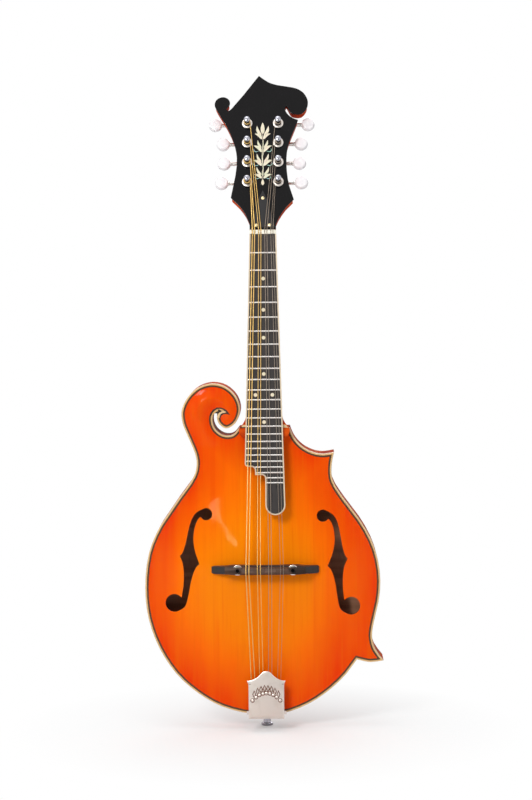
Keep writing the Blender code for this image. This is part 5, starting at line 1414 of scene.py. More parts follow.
def crossings(loop, v):
    """Least and greatest x where a level line crosses an outline."""
    found = []
    for a, b in zip(loop, loop[1:] + loop[:1]):
        if (a[1] > v) != (b[1] > v):
            found.append(a[0] + (v - a[1]) * (b[0] - a[0]) / (b[1] - a[1]))
    return min(found), max(found)


def fret_place(number):
    """The v of a fret."""
    return -SCALE_LENGTH * (1.0 - 2.0 ** (-number / 12.0))


def fret_wires(wood):
    """A half-round wire across the board at each fret, sloped at its ends."""
    look = settings("neck")
    half = look.fret_width / MM / 2
    height = look.fret_height / MM
    bm = bmesh.new()
    for number in range(1, FRET_COUNT + 1):
        v = fret_place(number)
        low, high = crossings(wood, v)
        rings = []
        for x, share in ((low, 0.35), (low + 0.35, 0.85), (low + 0.8, 1.0), (high - 0.8, 1.0),
                         (high - 0.35, 0.85), (high, 0.35)):
            ring = [(x, v - half, -0.3), (x, v + half, -0.3)]
            for i in range(9):
                angle = math.pi * i / 8
                ring.append((x, v + half * math.cos(angle), height * share * math.sin(angle)))
            rings.append(ring)
        loft(rings, bm=bm)
    return bm


def make_fingerboard():
    """Board with its binding, frets and dots."""
    look = settings("neck")
    edge = board_outline()
    inner = offset(edge, BOARD_BINDING, ends=True)
    wood = offset(edge, BOARD_BINDING + 0.04, ends=True)
    board = slab(wood, [], flat(0.0), flat(-BOARD_THICK))
    piece("board_wood", board, board_ebony(), NECK, replaces=["fingerboard"])
    strip = slab(edge + inner[::-1], [], flat(0.0), flat(-BOARD_THICK), bevel=0.25)
    piece("board_edge_strip", strip, board_binding(), NECK, replaces=["fingerboard_binding"])
    piece("fret_wires", fret_wires(wood), bright_nickel(), NECK)
    discs = bmesh.new()
    rims = bmesh.new()
    radius = look.dot_radius / MM
    for number, count in DOTS:
        v = (fret_place(number) + fret_place(number - 1)) / 2
        for x in ((0.0,) if count == 1 else (-look.dot_side / MM, look.dot_side / MM)):
            lathe([(radius - 0.35, -0.4), (radius - 0.35, 0.03)], (x, v, 0.0), (0, 0, 1), 32, bm=discs)
            lathe([(radius, -0.4), (radius, 0.015)], (x, v, 0.0), (0, 0, 1), 32, bore=radius - 0.35, bm=rims)
    piece("board_dots", discs, mother_of_pearl(), NECK)
    piece("board_dot_rims", rims, board_binding(), NECK)


def make_nut():
    """Nut with a round-bottomed slot for each string."""
    rings = []
    for v, drop in ((GAP, 0.0), (NUT_LENGTH / 2, NUT_BACK_DROP * 0.35), (NUT_LENGTH - GAP, NUT_BACK_DROP)):
        ring = [(-BOARD_NUT_HALF, v, -BOARD_THICK), (-BOARD_NUT_HALF, v, NUT_RISE - 1.2 - drop)]
        for lane, x in enumerate(string_lanes(NUT_PAIRS, NUT_SPREAD)):
            half = STRING_RADIUS[lane // 2] + GAP
            centre = STRING_LIFT + STRING_RADIUS[lane // 2] - drop * 1.15
            rise = max(NUT_RISE - drop, centre + 0.2)
            ring.append((x - half - 0.1, v, rise))
            for i in range(7):
                angle = math.pi * (1.0 + i / 6)
                ring.append((x + half * math.cos(angle), v, centre + half * math.sin(angle)))
            ring.append((x + half + 0.1, v, rise))
        ring += [(BOARD_NUT_HALF, v, NUT_RISE - 1.2 - drop), (BOARD_NUT_HALF, v, -BOARD_THICK)]
        rings.append(ring)
    piece("slotted_nut", loft(rings), nut_bone(), NECK, replaces=["nut"])


# Peghead and tuners

POST_ROWS = 4
POST_FIRST = 54.6
POST_PITCH = 22.7
POST_COLUMN = 16.7
POST_RADIUS = 3.2
POST_TOP = 12.0
WAIST_RADIUS = 2.5
FLANGE_RADIUS = 5.6
FLANGE_HEIGHT = 1.0
GEAR_N = -17.15
TUNER_PLATE = 1.2
PLATE_SCREWS = (48.8, 68.2, 90.9, 113.6, 133.0)
WORM_RISE = 5.4
SHAFT_RADIUS = 1.3
SHAFT_SEAT = 5.0
SLEEVE_END = 24.5
BUTTON_RADIUS = 7.3
BUTTON_THICK = 7.4
BUTTON_REACH = {-1: (44.5, 42.0, 43.0, 51.5), 1: (41.5, 39.5, 41.5, 49.0)}
COVER_POINTS = [(12.6, 1.6), (12.2, 6), (9.4, 14), (7.2, 23), (5.9, 31), (3.6, 36), (0, 44)]
COVER_THICK = 1.2
COVER_SCREWS = ((0.0, 35.0), (-7.1, 4.0), (7.1, 4.0))
ROD_WINDOW = (3.0, 16.0)
PEGHEAD_POINTS = [
    [(14.2, 6), (17.6, 14), (25, 25.5), (33.2, 34)],
    [(33.2, 34), (28.3, 50), (26, 66), (25.6, 82), (27.2, 95), (31, 107), (35.5, 118.5), (38.3, 126.3)],
    [(38.3, 126.3), (33, 128.3), (27.3, 133), (24.2, 139), (25.7, 143.2)],
    [(25.7, 143.2), (30.5, 134.8), (37, 132.8), (42.5, 133.8), (47.8, 140), (49, 148.5), (44.5, 158),
     (37, 163.3), (28, 165.5), (15.8, 167.7), (6, 171.3), (-4, 178.8)],
    [(-4, 178.8), (-33.9, 139.8), (-37.4, 137.6), (-39.4, 139.8)],
    [(-39.4, 139.8), (-35.3, 145.5), (-37, 151.3), (-42.7, 153.9), (-49.3, 151.4), (-52, 145), (-48.8, 137),
     (-39.3, 120), (-31.2, 100.5), (-27.8, 82), (-29.3, 62), (-34.2, 36.5)],
    [(-34.2, 36.5), (-25.5, 27.5), (-18.5, 17), (-14.2, 6)],
]
# Leaves of the ornament, each (foot, tip, half width, bend); sprays stand on both sides of the stem
MIDDLE_LEAVES = (
    ((0.0, 50.5), (0.0, 57.5), 1.6, 0.0), ((0.0, 110.0), (0.0, 123.5), 2.1, 0.0),
    ((0.0, 60.5), (0.0, 69.0), 0.9, 0.0), ((0.0, 84.5), (0.0, 93.0), 0.9, 0.0),
)
SIDE_LEAVES = (
    ((0.9, 58.5), (9.6, 63.0), 1.7, 1.3), ((1.3, 62.5), (6.6, 71.5), 1.3, -1.2),
    ((1.0, 73.0), (10.4, 79.5), 2.0, 1.7), ((1.3, 77.5), (6.2, 87.0), 1.3, -1.3),
    ((1.0, 89.0), (9.8, 96.5), 1.9, 1.6), ((1.2, 94.0), (5.4, 103.0), 1.2, -1.1),
    ((0.8, 104.0), (8.6, 110.5), 1.7, 1.5), ((1.4, 108.5), (6.2, 119.5), 1.6, -1.4),
)
TENDRILS = (
    [(3.0, 59.0), (6.5, 58.0), (8.7, 59.6), (8.2, 61.0)],
    [(4.0, 74.0), (8.2, 73.2), (10.3, 75.4), (9.4, 77.0)],
    [(4.0, 90.0), (7.8, 89.4), (9.6, 91.6), (8.8, 93.0)],
)


def strings():
    """(name, course, lane, side, row) for each string and the tuner that it goes to, bass to treble."""
    for lane in range(2 * len(COURSES)):
        course = lane // 2
        bass = lane < POST_ROWS
        row = lane if bass else 2 * POST_ROWS - 1 - lane
        yield COURSES[course] + str(lane % 2 + 1), course, lane, -1 if bass else 1, row


def post_places():
    """(side, row, x, v) of each tuner; side -1 is the bass side, and rows run up from the nut."""
    for side in (-1, 1):
        for row in range(POST_ROWS):
            yield side, row, side * POST_COLUMN, POST_FIRST + POST_PITCH * row


def peghead_outline(foot):
    """Edge of the peghead, anticlockwise, cut straight at its foot."""
    points = [(BOARD_NUT_HALF - GAP, foot)]
    for run in PEGHEAD_POINTS:
        points += even(smooth(run), 1.6)[:-1]
    points.append(PEGHEAD_POINTS[-1][-1])
    points.append((GAP - BOARD_NUT_HALF, foot))
    return [p for p in points if p[1] >= foot]


def make_peghead_face():
    """Lacquered face with a nickel bushing round each post."""
    half = ROD_NUT_RADIUS + GAP
    low, high = ROD_WINDOW
    window = [(-half, low), (half, low), (half, high), (-half, high)]
    holes = [circle(x, v, FLANGE_RADIUS - 1.0, 32) for _, _, x, v in post_places()] + [window]
    face = slab(peghead_outline(GAP), holes, flat(0.0), flat(-VENEER), bevel=0.18)
    piece("peghead_face", face, black_lacquer(), PEGHEAD, replaces=["peghead_veneer"])
    bushings = bmesh.new()
    rim = [(FLANGE_RADIUS - 1.05, -1.1), (FLANGE_RADIUS - 1.05, 0.0), (FLANGE_RADIUS, 0.0),
           (FLANGE_RADIUS, 0.3), (FLANGE_RADIUS - 0.35, 0.62), (FLANGE_RADIUS - 1.1, 0.78),
           (FLANGE_RADIUS - 1.25, FLANGE_HEIGHT), (POST_RADIUS + 0.6, FLANGE_HEIGHT)]
    for _, _, x, v in post_places():
        lathe(rim, (x, v, 0.0), (0, 0, 1), 40, bore=POST_RADIUS + GAP, bm=bushings)
    piece("post_bushings", bushings, satin_nickel(), PEGHEAD)


def leaf(foot, tip, half, bend, side=1):
    """Outline of a pointed leaf whose spine bows by its bend."""
    start = Vector((foot[0] * side, foot[1]))
    run = Vector((tip[0] * side, tip[1])) - start
    out = Vector((-run.y, run.x)).normalized()
    left = []
    right = []
    for i in range(13):
        share = i / 12
        spine = start + run * share + out * bend * side * math.sin(math.pi * share)
        width = half * math.sin(math.pi * share ** 0.75) ** 0.8 if 0 < i < 12 else 0.0
        left.append(tuple(spine + out * width))
        right.append(tuple(spine - out * width))
    return right + left[-2:0:-1]


def ribbon(points, half):
    """Outline of a strip along a curve, tapered to both ends."""
    run = even(smooth(points), 0.7)
    left = []
    right = []
    for i, (x, v) in enumerate(run):
        ahead = Vector(run[min(i + 1, len(run) - 1)]) - Vector(run[max(i - 1, 0)])
        out = Vector((-ahead.y, ahead.x)).normalized() * half * (0.25 + 0.75 * math.sin(math.pi * i / (len(run) - 1)))
        left.append((x + out.x, v + out.y))
        right.append((x - out.x, v - out.y))
    return right + left[::-1]


def inlay(outlines, bm=None):
    """Thin shapes let into the peghead's face."""
    bm = bm or bmesh.new()
    for outline in outlines:
        shape = slab(outline, [], flat(0.03), flat(-0.2))
        mesh = bpy.data.meshes.new("shape")
        shape.to_mesh(mesh)
        shape.free()
        bm.from_mesh(mesh)
        bpy.data.meshes.remove(mesh)
    return bm


def make_ornament():
    """A stem of leaves in pearl with tendrils in green shell."""
    outlines = [leaf(*values) for values in MIDDLE_LEAVES]
    for side in (-1, 1):
        outlines += [leaf(*values, side) for values in SIDE_LEAVES]
    stem = ribbon([(0.0, 56.5), (0.5, 70.0), (-0.5, 84.0), (0.5, 98.0), (0.0, 112.0)], 0.55)
    piece("ornament_leaves", inlay(outlines + [stem]), mother_of_pearl(), PEGHEAD)
    tendrils = [ribbon([(x * side, v) for x, v in run], 0.4) for run in TENDRILS for side in (-1, 1)]
    piece("ornament_tendrils", inlay(tendrils), green_shell(), PEGHEAD)


def screw(x, v, n, bm, slot_shade, turn):
    """A domed screw head, and its slot as a dark block in another mesh: painted shade in place of a cut slot."""
    radius = settings("hardware").screw_radius / MM
    dome = [(radius, n - 0.2), (radius, n + 0.25), (radius * 0.8, n + 0.55), (radius * 0.4, n + 0.72),
            (0.05, n + 0.76)]
    lathe(dome, (x, v, 0.0), (0, 0, 1), 24, bm=bm)
    groove = block((-radius * 0.92, -0.16, n + 0.3), (radius * 0.92, 0.16, n + 0.79))
    groove.transform(Matrix.Translation((x, v, 0.0)) @ Matrix.Rotation(math.radians(turn), 4, "Z"))
    mesh = bpy.data.meshes.new("groove")
    groove.to_mesh(mesh)
    groove.free()
    slot_shade.from_mesh(mesh)
    bpy.data.meshes.remove(mesh)


def make_rod_cover():
    """Bell-shaped cover with its three screws."""
    half = even(smooth(COVER_POINTS), 1.0)
    outline = half + [(-x, v) for x, v in reversed(half[:-1])]
    cover = slab(outline, [], flat(GAP + COVER_THICK), flat(GAP), bevel=0.4)
    piece("rod_cover_plate", cover, cover_black(), PEGHEAD, replaces=["truss_rod_cover"])
    heads = bmesh.new()
    slot_shades = bmesh.new()
    for number, (x, v) in enumerate(COVER_SCREWS):
        screw(x, v, GAP + COVER_THICK, heads, slot_shades, 35.0 + 70.0 * number)
    piece("rod_cover_screws", heads, gilt(), PEGHEAD)
    # The screws' slots are dark blocks: painted shade.
    piece("rod_cover_screw_slot_shade", slot_shades, hole_edge(), PEGHEAD)


def make_button(name, x, v, side):
    """Pearly button with its socket for the shaft, and a collar where the shaft goes in."""
    half = BUTTON_THICK / 2
    profile = [(BUTTON_RADIUS * 0.3, -half)]
    for i in range(11):
        angle = math.radians(-78.0 + 156.0 * i / 10)
        profile.append((BUTTON_RADIUS - 2.6 + 2.6 * math.cos(angle) ** 0.8, half * math.sin(angle)))
    profile.append((BUTTON_RADIUS * 0.3, half))
    button = lathe(profile, (x, v, GEAR_N), (0, 0, 1), 48)
    edge = x - side * BUTTON_RADIUS
    socket = lathe([(SHAFT_RADIUS + GAP, -3.0), (SHAFT_RADIUS + GAP, SHAFT_SEAT + GAP)], (edge, v, GEAR_N),
                   (side, 0, 0), 20)
    body = "key_" + name
    piece("pearl_button_" + name, carve(button, socket), button_pearl(), PEGHEAD, body, ["button_" + name])
    reach = abs(edge) - SLEEVE_END
    collar = [(1.9, -reach), (2.25, -reach + 0.4), (2.25, -1.8), (1.8, -1.4), (2.5, -0.7), (2.5, 0.4), (1.9, 0.9)]
    ring = lathe(collar, (edge, v, GEAR_N), (side, 0, 0), 28, bore=SHAFT_RADIUS + 0.02)
    piece("button_collar_" + name, ring, bright_nickel(), PEGHEAD, body)


def make_tuners():
    """Plates, posts with their knobs, worm shafts and buttons."""
    knob = settings("hardware").knob_radius / MM
    for node in ("tuner_plate_bass", "tuner_plate_treble"):
        dress(node, satin_nickel(), 0.15)
    heads = bmesh.new()
    slot_shades = bmesh.new()
    for side in (-1, 1):
        for number, v in enumerate(PLATE_SCREWS):
            screw(side * POST_COLUMN, v, PEG_THICK + GAP + TUNER_PLATE, heads, slot_shades, 25.0 + 65.0 * number)
    behind = PEGHEAD @ Matrix.Scale(-1.0, 4, (0.0, 0.0, 1.0))
    piece("tuner_plate_screws", heads, satin_nickel(), behind)
    # The screws' slots are dark blocks: painted shade.
    piece("tuner_plate_screw_slot_shade", slot_shades, hole_edge(), behind)
    for name, _, _, side, row in strings():
        x = side * POST_COLUMN
        v = POST_FIRST + POST_PITCH * row
        dress("post_" + name, post_nickel())
        dress("worm_" + name, bright_nickel())
        profile = [(WAIST_RADIUS - 0.1, POST_TOP - 2.9), (WAIST_RADIUS + 0.1, POST_TOP - 2.5),
                   (knob, POST_TOP - 1.3), (knob, POST_TOP - 0.7), (knob * 0.93, POST_TOP - 0.3),
                   (knob * 0.74, POST_TOP + 0.1), (knob * 0.45, POST_TOP + 0.35), (knob * 0.12, POST_TOP + 0.45)]
        cap = lathe(profile, (x, v, 0.0), (0, 0, 1), 40)
        # The knobs' darker, bluer nickel is a painted reflection.
        piece("post_knob_" + name, cap, knob_nickel(), PEGHEAD, "post_" + name)
        make_button(name, side * BUTTON_REACH[side][row], v + WORM_RISE, side)


# Bridge, tailpiece and strings

COURSES = ("g", "d", "a", "e")
STRING_RADIUS = (0.51, 0.36, 0.24, 0.18)
NUT_PAIRS = (-9.85, -3.2, 3.25, 9.65)
SADDLE_PAIRS = (-18.8, -6.6, 5.4, 17.9)
TAIL_PAIRS = (-13.2, -4.9, 3.9, 12.9)
NUT_SPREAD = 1.2
SADDLE_SPREAD = 1.6
TAIL_SPREAD = 1.9
TURNS = (2, 2, 3, 3)
TURN_POINTS = 24
STRING_LIFT = 1.05
WINDING_LOW = 3.2
WINDING_GAP = 0.5
BRIDGE_V = -356.4
BRIDGE_HALF = 57.0
BRIDGE_WIDTH = 10.0
STUD_X = 29.4
STUD_RADIUS = 1.9
STUD_SINK = 5.0
WHEEL_RADIUS = 5.5
WHEEL_THICK = 2.6
BASE_TOP = 25.0
BASE_END_HEIGHT = 3.0
WHEEL_BASE = BASE_TOP + GAP
SADDLE_BASE = WHEEL_BASE + WHEEL_THICK + GAP
SADDLE_HALF = 43.0
SADDLE_TOP = 35.4
SADDLE_DEPTH = 8.0
FOOT_GAP = 20.0
FOOT_ARCH = 2.0
CROWN_HALF = 23.5
WING_DROP = 2.6
WING_END = 4.6
RIDGE_OFFSETS = (-1.6, 1.1, -1.2, 1.5)
COVER_HALF = 19.0
COVER_TOP = -465.7
COVER_BOTTOM = -517.0
COVER_FRONT = 23.0
COVER_WALL = 1.2
COVER_CROWN = 1.4
COVER_WALL_START = 14.5
COVER_RIM = 11.4
BEAD_COUNT = 9
BEAD_PITCH = 3.7
COVER_EDGE = [(0, 0), (2.6, -0.3), (4.4, -1.3), (6.2, -3.2), (8.6, -5.6), (11.8, -8.0), (15, -9.5), (18, -10.2),
              (20.6, -10.4), (19.2, -13.8), (19.0, -19)]
HOOK_BASE = 9.5
BASE_THICK = 1.5
HOOK_V = -508.0
HOOK_STAGGER = 5.5
HOOK_RADIUS = 0.9
HOOK_STRING = 2.3
LOOP_START = 40.0
LOOP_END = -220.0
LOOP_STEPS = 20
END_PIN_RADIUS = 4.2
END_PIN_FLANGE = 7.3
PIN_N = -RIM_DEPTH / 2
PIN_NECK = 3.4
PIN_STEM = 17.0
PIN_LENGTH = 13.8
PIN_HEAD = 3.8


def string_lanes(pairs, spread):
    """The x of each string, bass to treble, from its course's centre."""
    return [centre + side * spread for centre in pairs for side in (-1, 1)]


def foot_rings():
    """Sections of the bridge's foot, fitted to the arched top and hollowed under its middle."""
    rings = []
    for i in range(77):
        x = -BRIDGE_HALF - 0.6 + (2.0 * BRIDGE_HALF + 0.8) * i / 76
        end = max(0.0, (abs(x) - BRIDGE_HALF + 1.5) / 1.5)
        half = BRIDGE_WIDTH / 2 * numpy.interp(abs(x), (STUD_X + 6.0, STUD_X + 12.0), (1.0, 0.85))
        half *= math.sqrt(max(0.6, 1.0 - end ** 2))
        outward = max(0.0, (abs(x) - STUD_X - 6.0) / (BRIDGE_HALF - STUD_X - 6.0))
        middle = BRIDGE_V - 0.5 - 0.7 * min(1.0, outward)
        relief = FOOT_ARCH * numpy.clip((FOOT_GAP - abs(x)) / 1.5, 0.0, 1.0)
        floor = [float(top_front(numpy.array([x]), numpy.array([middle + s * half]))[0]) + GAP + relief
                 for s in (-1, 1)]
        top = BASE_TOP + (max(floor) + BASE_END_HEIGHT - BASE_TOP) * outward ** 1.2
        top = min(top, BASE_TOP)
        ring = [(x, middle - half, floor[0]), (x, middle + half, floor[1])]
        ring += [(x, middle + half, top - 1.4), (x, middle + half * 0.93, top - 0.5),
                 (x, middle + half * 0.78, top), (x, middle - half * 0.78, top),
                 (x, middle - half * 0.93, top - 0.5), (x, middle - half, top - 1.4)]
        rings.append(ring)
    return rings


def saddle_rings():
    """Sections of the saddle, whose crest steps forward and back under each course."""
    edges = [(a + b) / 2 for a, b in zip(SADDLE_PAIRS, SADDLE_PAIRS[1:])]
    stations = [(-SADDLE_HALF, 0.0, WING_END), (-SADDLE_HALF + 1.0, 0.0, WING_END - 0.6),
                (-CROWN_HALF - 3.0, 0.0, WING_DROP), (-CROWN_HALF, RIDGE_OFFSETS[0], 0.0)]
    for edge, low, high in zip(edges, RIDGE_OFFSETS, RIDGE_OFFSETS[1:]):
        stations += [(edge - 0.35, low, 0.0), (edge + 0.35, high, 0.0)]
    stations += [(CROWN_HALF, RIDGE_OFFSETS[-1], 0.0), (CROWN_HALF + 3.0, 0.0, WING_DROP),
                 (SADDLE_HALF - 1.0, 0.0, WING_END - 0.6), (SADDLE_HALF, 0.0, WING_END)]
    rings = []
    half = SADDLE_DEPTH / 2 - 0.25
    axis = BRIDGE_V - 0.35
    for x, ridge, drop in stations:
        top = SADDLE_TOP - drop
        middle = BRIDGE_V + ridge
        rings.append([
            (x, axis - half + 0.5, SADDLE_BASE), (x, axis + half - 0.5, SADDLE_BASE),
            (x, axis + half, SADDLE_BASE + 0.5), (x, axis + half, top - 2.0),
            (x, axis + half - 0.5, top - 1.5), (x, middle + 1.0, top - 0.25), (x, middle + 0.6, top),
            (x, middle - 0.6, top), (x, middle - 1.0, top - 0.25), (x, axis - half + 0.5, top - 1.5),
            (x, axis - half, top - 2.0), (x, axis - half, SADDLE_BASE + 0.5),
        ])
    return rings


def knurl(i, along):
    """Radius of a wheel's rim by its point's number: fine teeth between plain bevels."""
    toothed = WHEEL_BASE + 0.3 < along < WHEEL_BASE + WHEEL_THICK - 0.3
    return 0.965 if toothed and i % 4 >= 2 else 1.0


def make_bridge():
    """Foot, studs, knurled wheels and saddle."""
    foot = loft(foot_rings())
    saddle = loft(saddle_rings())
    for side in (-1, 1):
        centre = (side * STUD_X, BRIDGE_V, 0.0)
        bore = STUD_RADIUS + GAP
        foot = carve(foot, lathe([(bore, BASE_TOP - STUD_SINK - GAP), (bore, BASE_TOP + 6.0)], centre,
                                 (0, 0, 1), 24))
        saddle = carve(saddle, lathe([(bore, BASE_TOP), (bore, SADDLE_TOP)], centre, (0, 0, 1), 24))
        name = "bass" if side < 0 else "treble"
        # The studs are painted near black as the shade inside the bridge's bores.
        dress("bridge_stud_" + name, dark_steel())
        top = WHEEL_BASE + WHEEL_THICK
        rim = [(WHEEL_RADIUS - 0.5, WHEEL_BASE), (WHEEL_RADIUS - 0.12, WHEEL_BASE + 0.28),
               (WHEEL_RADIUS - 0.05, WHEEL_BASE + 0.4), (WHEEL_RADIUS - 0.05, top - 0.4),
               (WHEEL_RADIUS - 0.12, top - 0.28), (WHEEL_RADIUS - 0.5, top)]
        wheel = lathe(rim, centre, (0, 0, 1), 144, bore=bore, wave=knurl)
        node = "thumbwheel_" + name
        piece("knurled_wheel_" + name, wheel, bright_nickel(), BODY, node, [node])
    piece("bridge_foot", foot, bridge_ebony(), replaces=["bridge_base"], sharp=30.0)
    piece("stepped_saddle", saddle, saddle_rosewood(), BODY, "saddle", ["bridge_saddle"], 30.0)


def cover_front(x, v):
    """Crowned front of the tailpiece's cover."""
    return COVER_FRONT - COVER_CROWN * (numpy.asarray(x) / COVER_HALF) ** 2


def make_cover():
    """Sliding cover with a bevelled edge and a raised arc of beads and lozenges."""
    first = even(smooth(COVER_EDGE[:9]), 0.8)
    second = even(smooth(COVER_EDGE[8:]), 0.8)
    half = [(x, COVER_TOP + v) for x, v in first + second[1:]] + [(COVER_HALF, COVER_BOTTOM)]
    outline = [(-x, v) for x, v in half] + [(x, v) for x, v in reversed(half[1:])]
    ring = inset(outline, 0.8)
    spots = grid(ring, [], 2.4)

    def front(x, v):
        near = clearances(numpy.stack([x, v], axis=1), outline)
        return cover_front(x, v) - 0.4 * (1.0 - numpy.clip(near / 0.8, 0.0, 1.0)) ** 1.5

    plate = slab(outline, [], front, lambda x, v: cover_front(x, v) - COVER_WALL, list(ring) + spots)
    for side in (-1, 1):
        inner = COVER_HALF - COVER_WALL
        outer = COVER_HALF - 0.02
        low, high = sorted((side * inner, side * outer))
        block((low, COVER_BOTTOM + 0.1, COVER_RIM),
              (high, COVER_TOP - COVER_WALL_START, COVER_FRONT - COVER_CROWN - COVER_WALL / 2), bm=plate)
    piece("cover_shell", plate, satin_nickel(), BODY, "tailpiece_cover", ["tailpiece_cover"], 30.0)

    def raised(levels, bm):
        loft([[(x, v, float(cover_front(x, v)) + rise) for x, v in loop] for loop, rise in levels], bm=bm)

    def lozenge(x, v, wide, tall):
        return [(x - wide, v), (x - wide * 0.4, v - tall * 0.62), (x, v - tall), (x + wide * 0.4, v - tall * 0.62),
                (x + wide, v), (x + wide * 0.4, v + tall * 0.62), (x, v + tall), (x - wide * 0.4, v + tall * 0.62)]

    beads = bmesh.new()
    # Painted shade: dark rings round the feet of the beads and lozenges, and dark slits at the cover's sides.
    relief_shade_marks = bmesh.new()
    for i in range(2 * BEAD_COUNT - 1):
        x = (i - BEAD_COUNT + 1) * BEAD_PITCH / 2
        v = COVER_TOP - 23.3 - 0.037 * x * x
        if i % 2 == 0:
            levels = [(circle(x, v, radius, 28), rise) for radius, rise in (
                (1.72, -0.2), (1.6, 0.35), (1.2, 0.72), (0.65, 0.92), (0.05, 1.0))]
            raised([(circle(x, v, 2.3, 28), -0.2), (circle(x, v, 2.3, 28), 0.07)], relief_shade_marks)
        else:
            v += 4.8
            levels = [(lozenge(x, v, wide, tall), rise) for wide, tall, rise in (
                (1.15, 3.1, -0.2), (1.1, 3.0, 0.3), (0.4, 1.7, 0.8))]
            raised([(lozenge(x, v, 2.1, 4.4), -0.2), (lozenge(x, v, 2.1, 4.4), 0.07)], relief_shade_marks)
        raised(levels, beads)
    for side in (-1, 1):
        low, high = sorted((side * 16.6, side * 18.7))
        slit = [(low, COVER_TOP - 14.2), (high, COVER_TOP - 14.2), (high, COVER_TOP - 13.6), (low, COVER_TOP - 13.6)]
        raised([(slit, -0.2), (slit, 0.05)], relief_shade_marks)
    piece("cover_beads", beads, satin_nickel(), BODY, "tailpiece_cover")
    piece("cover_relief_shade", relief_shade_marks, dull_seat(), BODY, "tailpiece_cover")


def make_tailpiece():
    """Hooked base, its cover, and the end pin."""
    dress("tailpiece_base", bright_nickel(), 0.12)
    make_cover()
    plate = -BODY_END + 2 * GAP + BASE_THICK
    profile = [(END_PIN_RADIUS, -BODY_END - PIN_STEM), (END_PIN_RADIUS, plate), (PIN_NECK + 2.6, plate),
               (PIN_NECK + 2.6, plate + 0.9), (PIN_NECK + 2.1, plate + 1.5), (PIN_NECK + 0.6, plate + 1.9),
               (PIN_NECK, plate + 2.6), (PIN_NECK + 0.6, plate + PIN_LENGTH - PIN_HEAD - 2.0)]
    profile += [(PIN_NECK + wide, plate + PIN_LENGTH - PIN_HEAD + along) for wide, along in (
        (0.6, -0.4), (0.9, 0.0), (2.6, 0.2), (2.9, 0.5), (3.0, 1.0), (3.0, 2.0), (2.6, 2.9), (1.2, 3.6),
        (0.1 - PIN_NECK, 3.8))]
    pin = lathe(profile, (0, 0, PIN_N), (0, -1, 0), 56)
    # The end pin's darker, bluer nickel is a painted reflection.
    piece("turned_end_pin", pin, knob_nickel(), replaces=["end_pin"])


COVER_REACH = 0.62


def string_route(course, lane, side, row):
    """Points in the world along one string, and the numbers of three of them: cover's edge, saddle and nut."""
    radius = STRING_RADIUS[course]
    tail_x = string_lanes(TAIL_PAIRS, TAIL_SPREAD)[lane]
    hook_v = HOOK_V + HOOK_STAGGER * (lane % 2)
    loop_radius = HOOK_RADIUS + radius + GAP + 0.1
    loop_n = HOOK_BASE + BASE_THICK + HOOK_STRING
    route = []
    for i in range(LOOP_STEPS + 1):
        angle = math.radians(LOOP_START + (LOOP_END - LOOP_START) * i / LOOP_STEPS)
        x = tail_x + loop_radius * math.cos(angle)
        route.append(BODY @ Vector((x, hook_v + loop_radius * math.sin(angle), loop_n)))
    route.append(BODY @ Vector((tail_x, hook_v + 4.0 * loop_radius, loop_n + loop_radius / 2)))
    saddle_x = string_lanes(SADDLE_PAIRS, SADDLE_SPREAD)[lane]
    saddle = BODY @ Vector((saddle_x, BRIDGE_V + RIDGE_OFFSETS[course], SADDLE_TOP + radius + GAP / 2))
    route += [saddle.lerp(route[-1], COVER_REACH), saddle]
    nut_x = string_lanes(NUT_PAIRS, NUT_SPREAD)[lane]
    route.append(NECK @ Vector((nut_x, GAP, STRING_LIFT + radius)))
    route.append(NECK @ Vector((nut_x, NUT_LENGTH - GAP, STRING_LIFT + radius - NUT_BACK_DROP)))
    post = Vector((side * POST_COLUMN, POST_FIRST + POST_PITCH * row))
    start = PEGHEAD.inverted() @ route[-1]
    away = Vector((start.x, start.y)) - post
    wind = WAIST_RADIUS + radius + GAP
    touch = math.atan2(away.y, away.x) - side * math.acos(wind / away.length)
    if side > 0 and touch < 0.0:
        touch += 2.0 * math.pi
    turns = TURNS[course]
    end = (math.pi if side > 0 else 0.0) - side * 2.0 * math.pi * turns
    steps = TURN_POINTS * turns
    rise = (2.0 * radius + WINDING_GAP) * turns
    for i in range(steps + 1):
        share = i / steps
        angle = touch + (end - touch) * share
        x = post.x + wind * math.cos(angle)
        v = post.y + wind * math.sin(angle)
        route.append(PEGHEAD @ Vector((x, v, WINDING_LOW + rise * share)))
    middle = WINDING_LOW + (2.0 * radius + WINDING_GAP) * turns
    route.append(PEGHEAD @ Vector((post.x, post.y, middle)))
    return route, (LOOP_STEPS + 2, LOOP_STEPS + 3, LOOP_STEPS + 4)


def make_strings():
    """Eight strings, four wrapped in bronze and four of plain steel, each made as a speaking part and a tail part
    that meet at the saddle.
    """
    for name, course, lane, side, row in strings():
        route, (edge, saddle, nut) = string_route(course, lane, side, row)
        finish = wound_wire() if course < 2 else plain_wire()
        for suffix, first, last, still in (("_speaking", saddle, None, nut), ("_tail", 0, saddle, edge)):
            bm = tube(route, STRING_RADIUS[course], 14 if course < 2 else 12, first, last)
            made = piece("fine_string_" + name + suffix, bm, finish, Matrix.Identity(4), None, ["string_" + name])
            route[saddle] * MM
            route[still] * MM
            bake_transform(made)


# Stage

LOOK_AT = Vector((0.0, -0.015, -0.176))
PRINCIPAL = (264.0, 400.0)


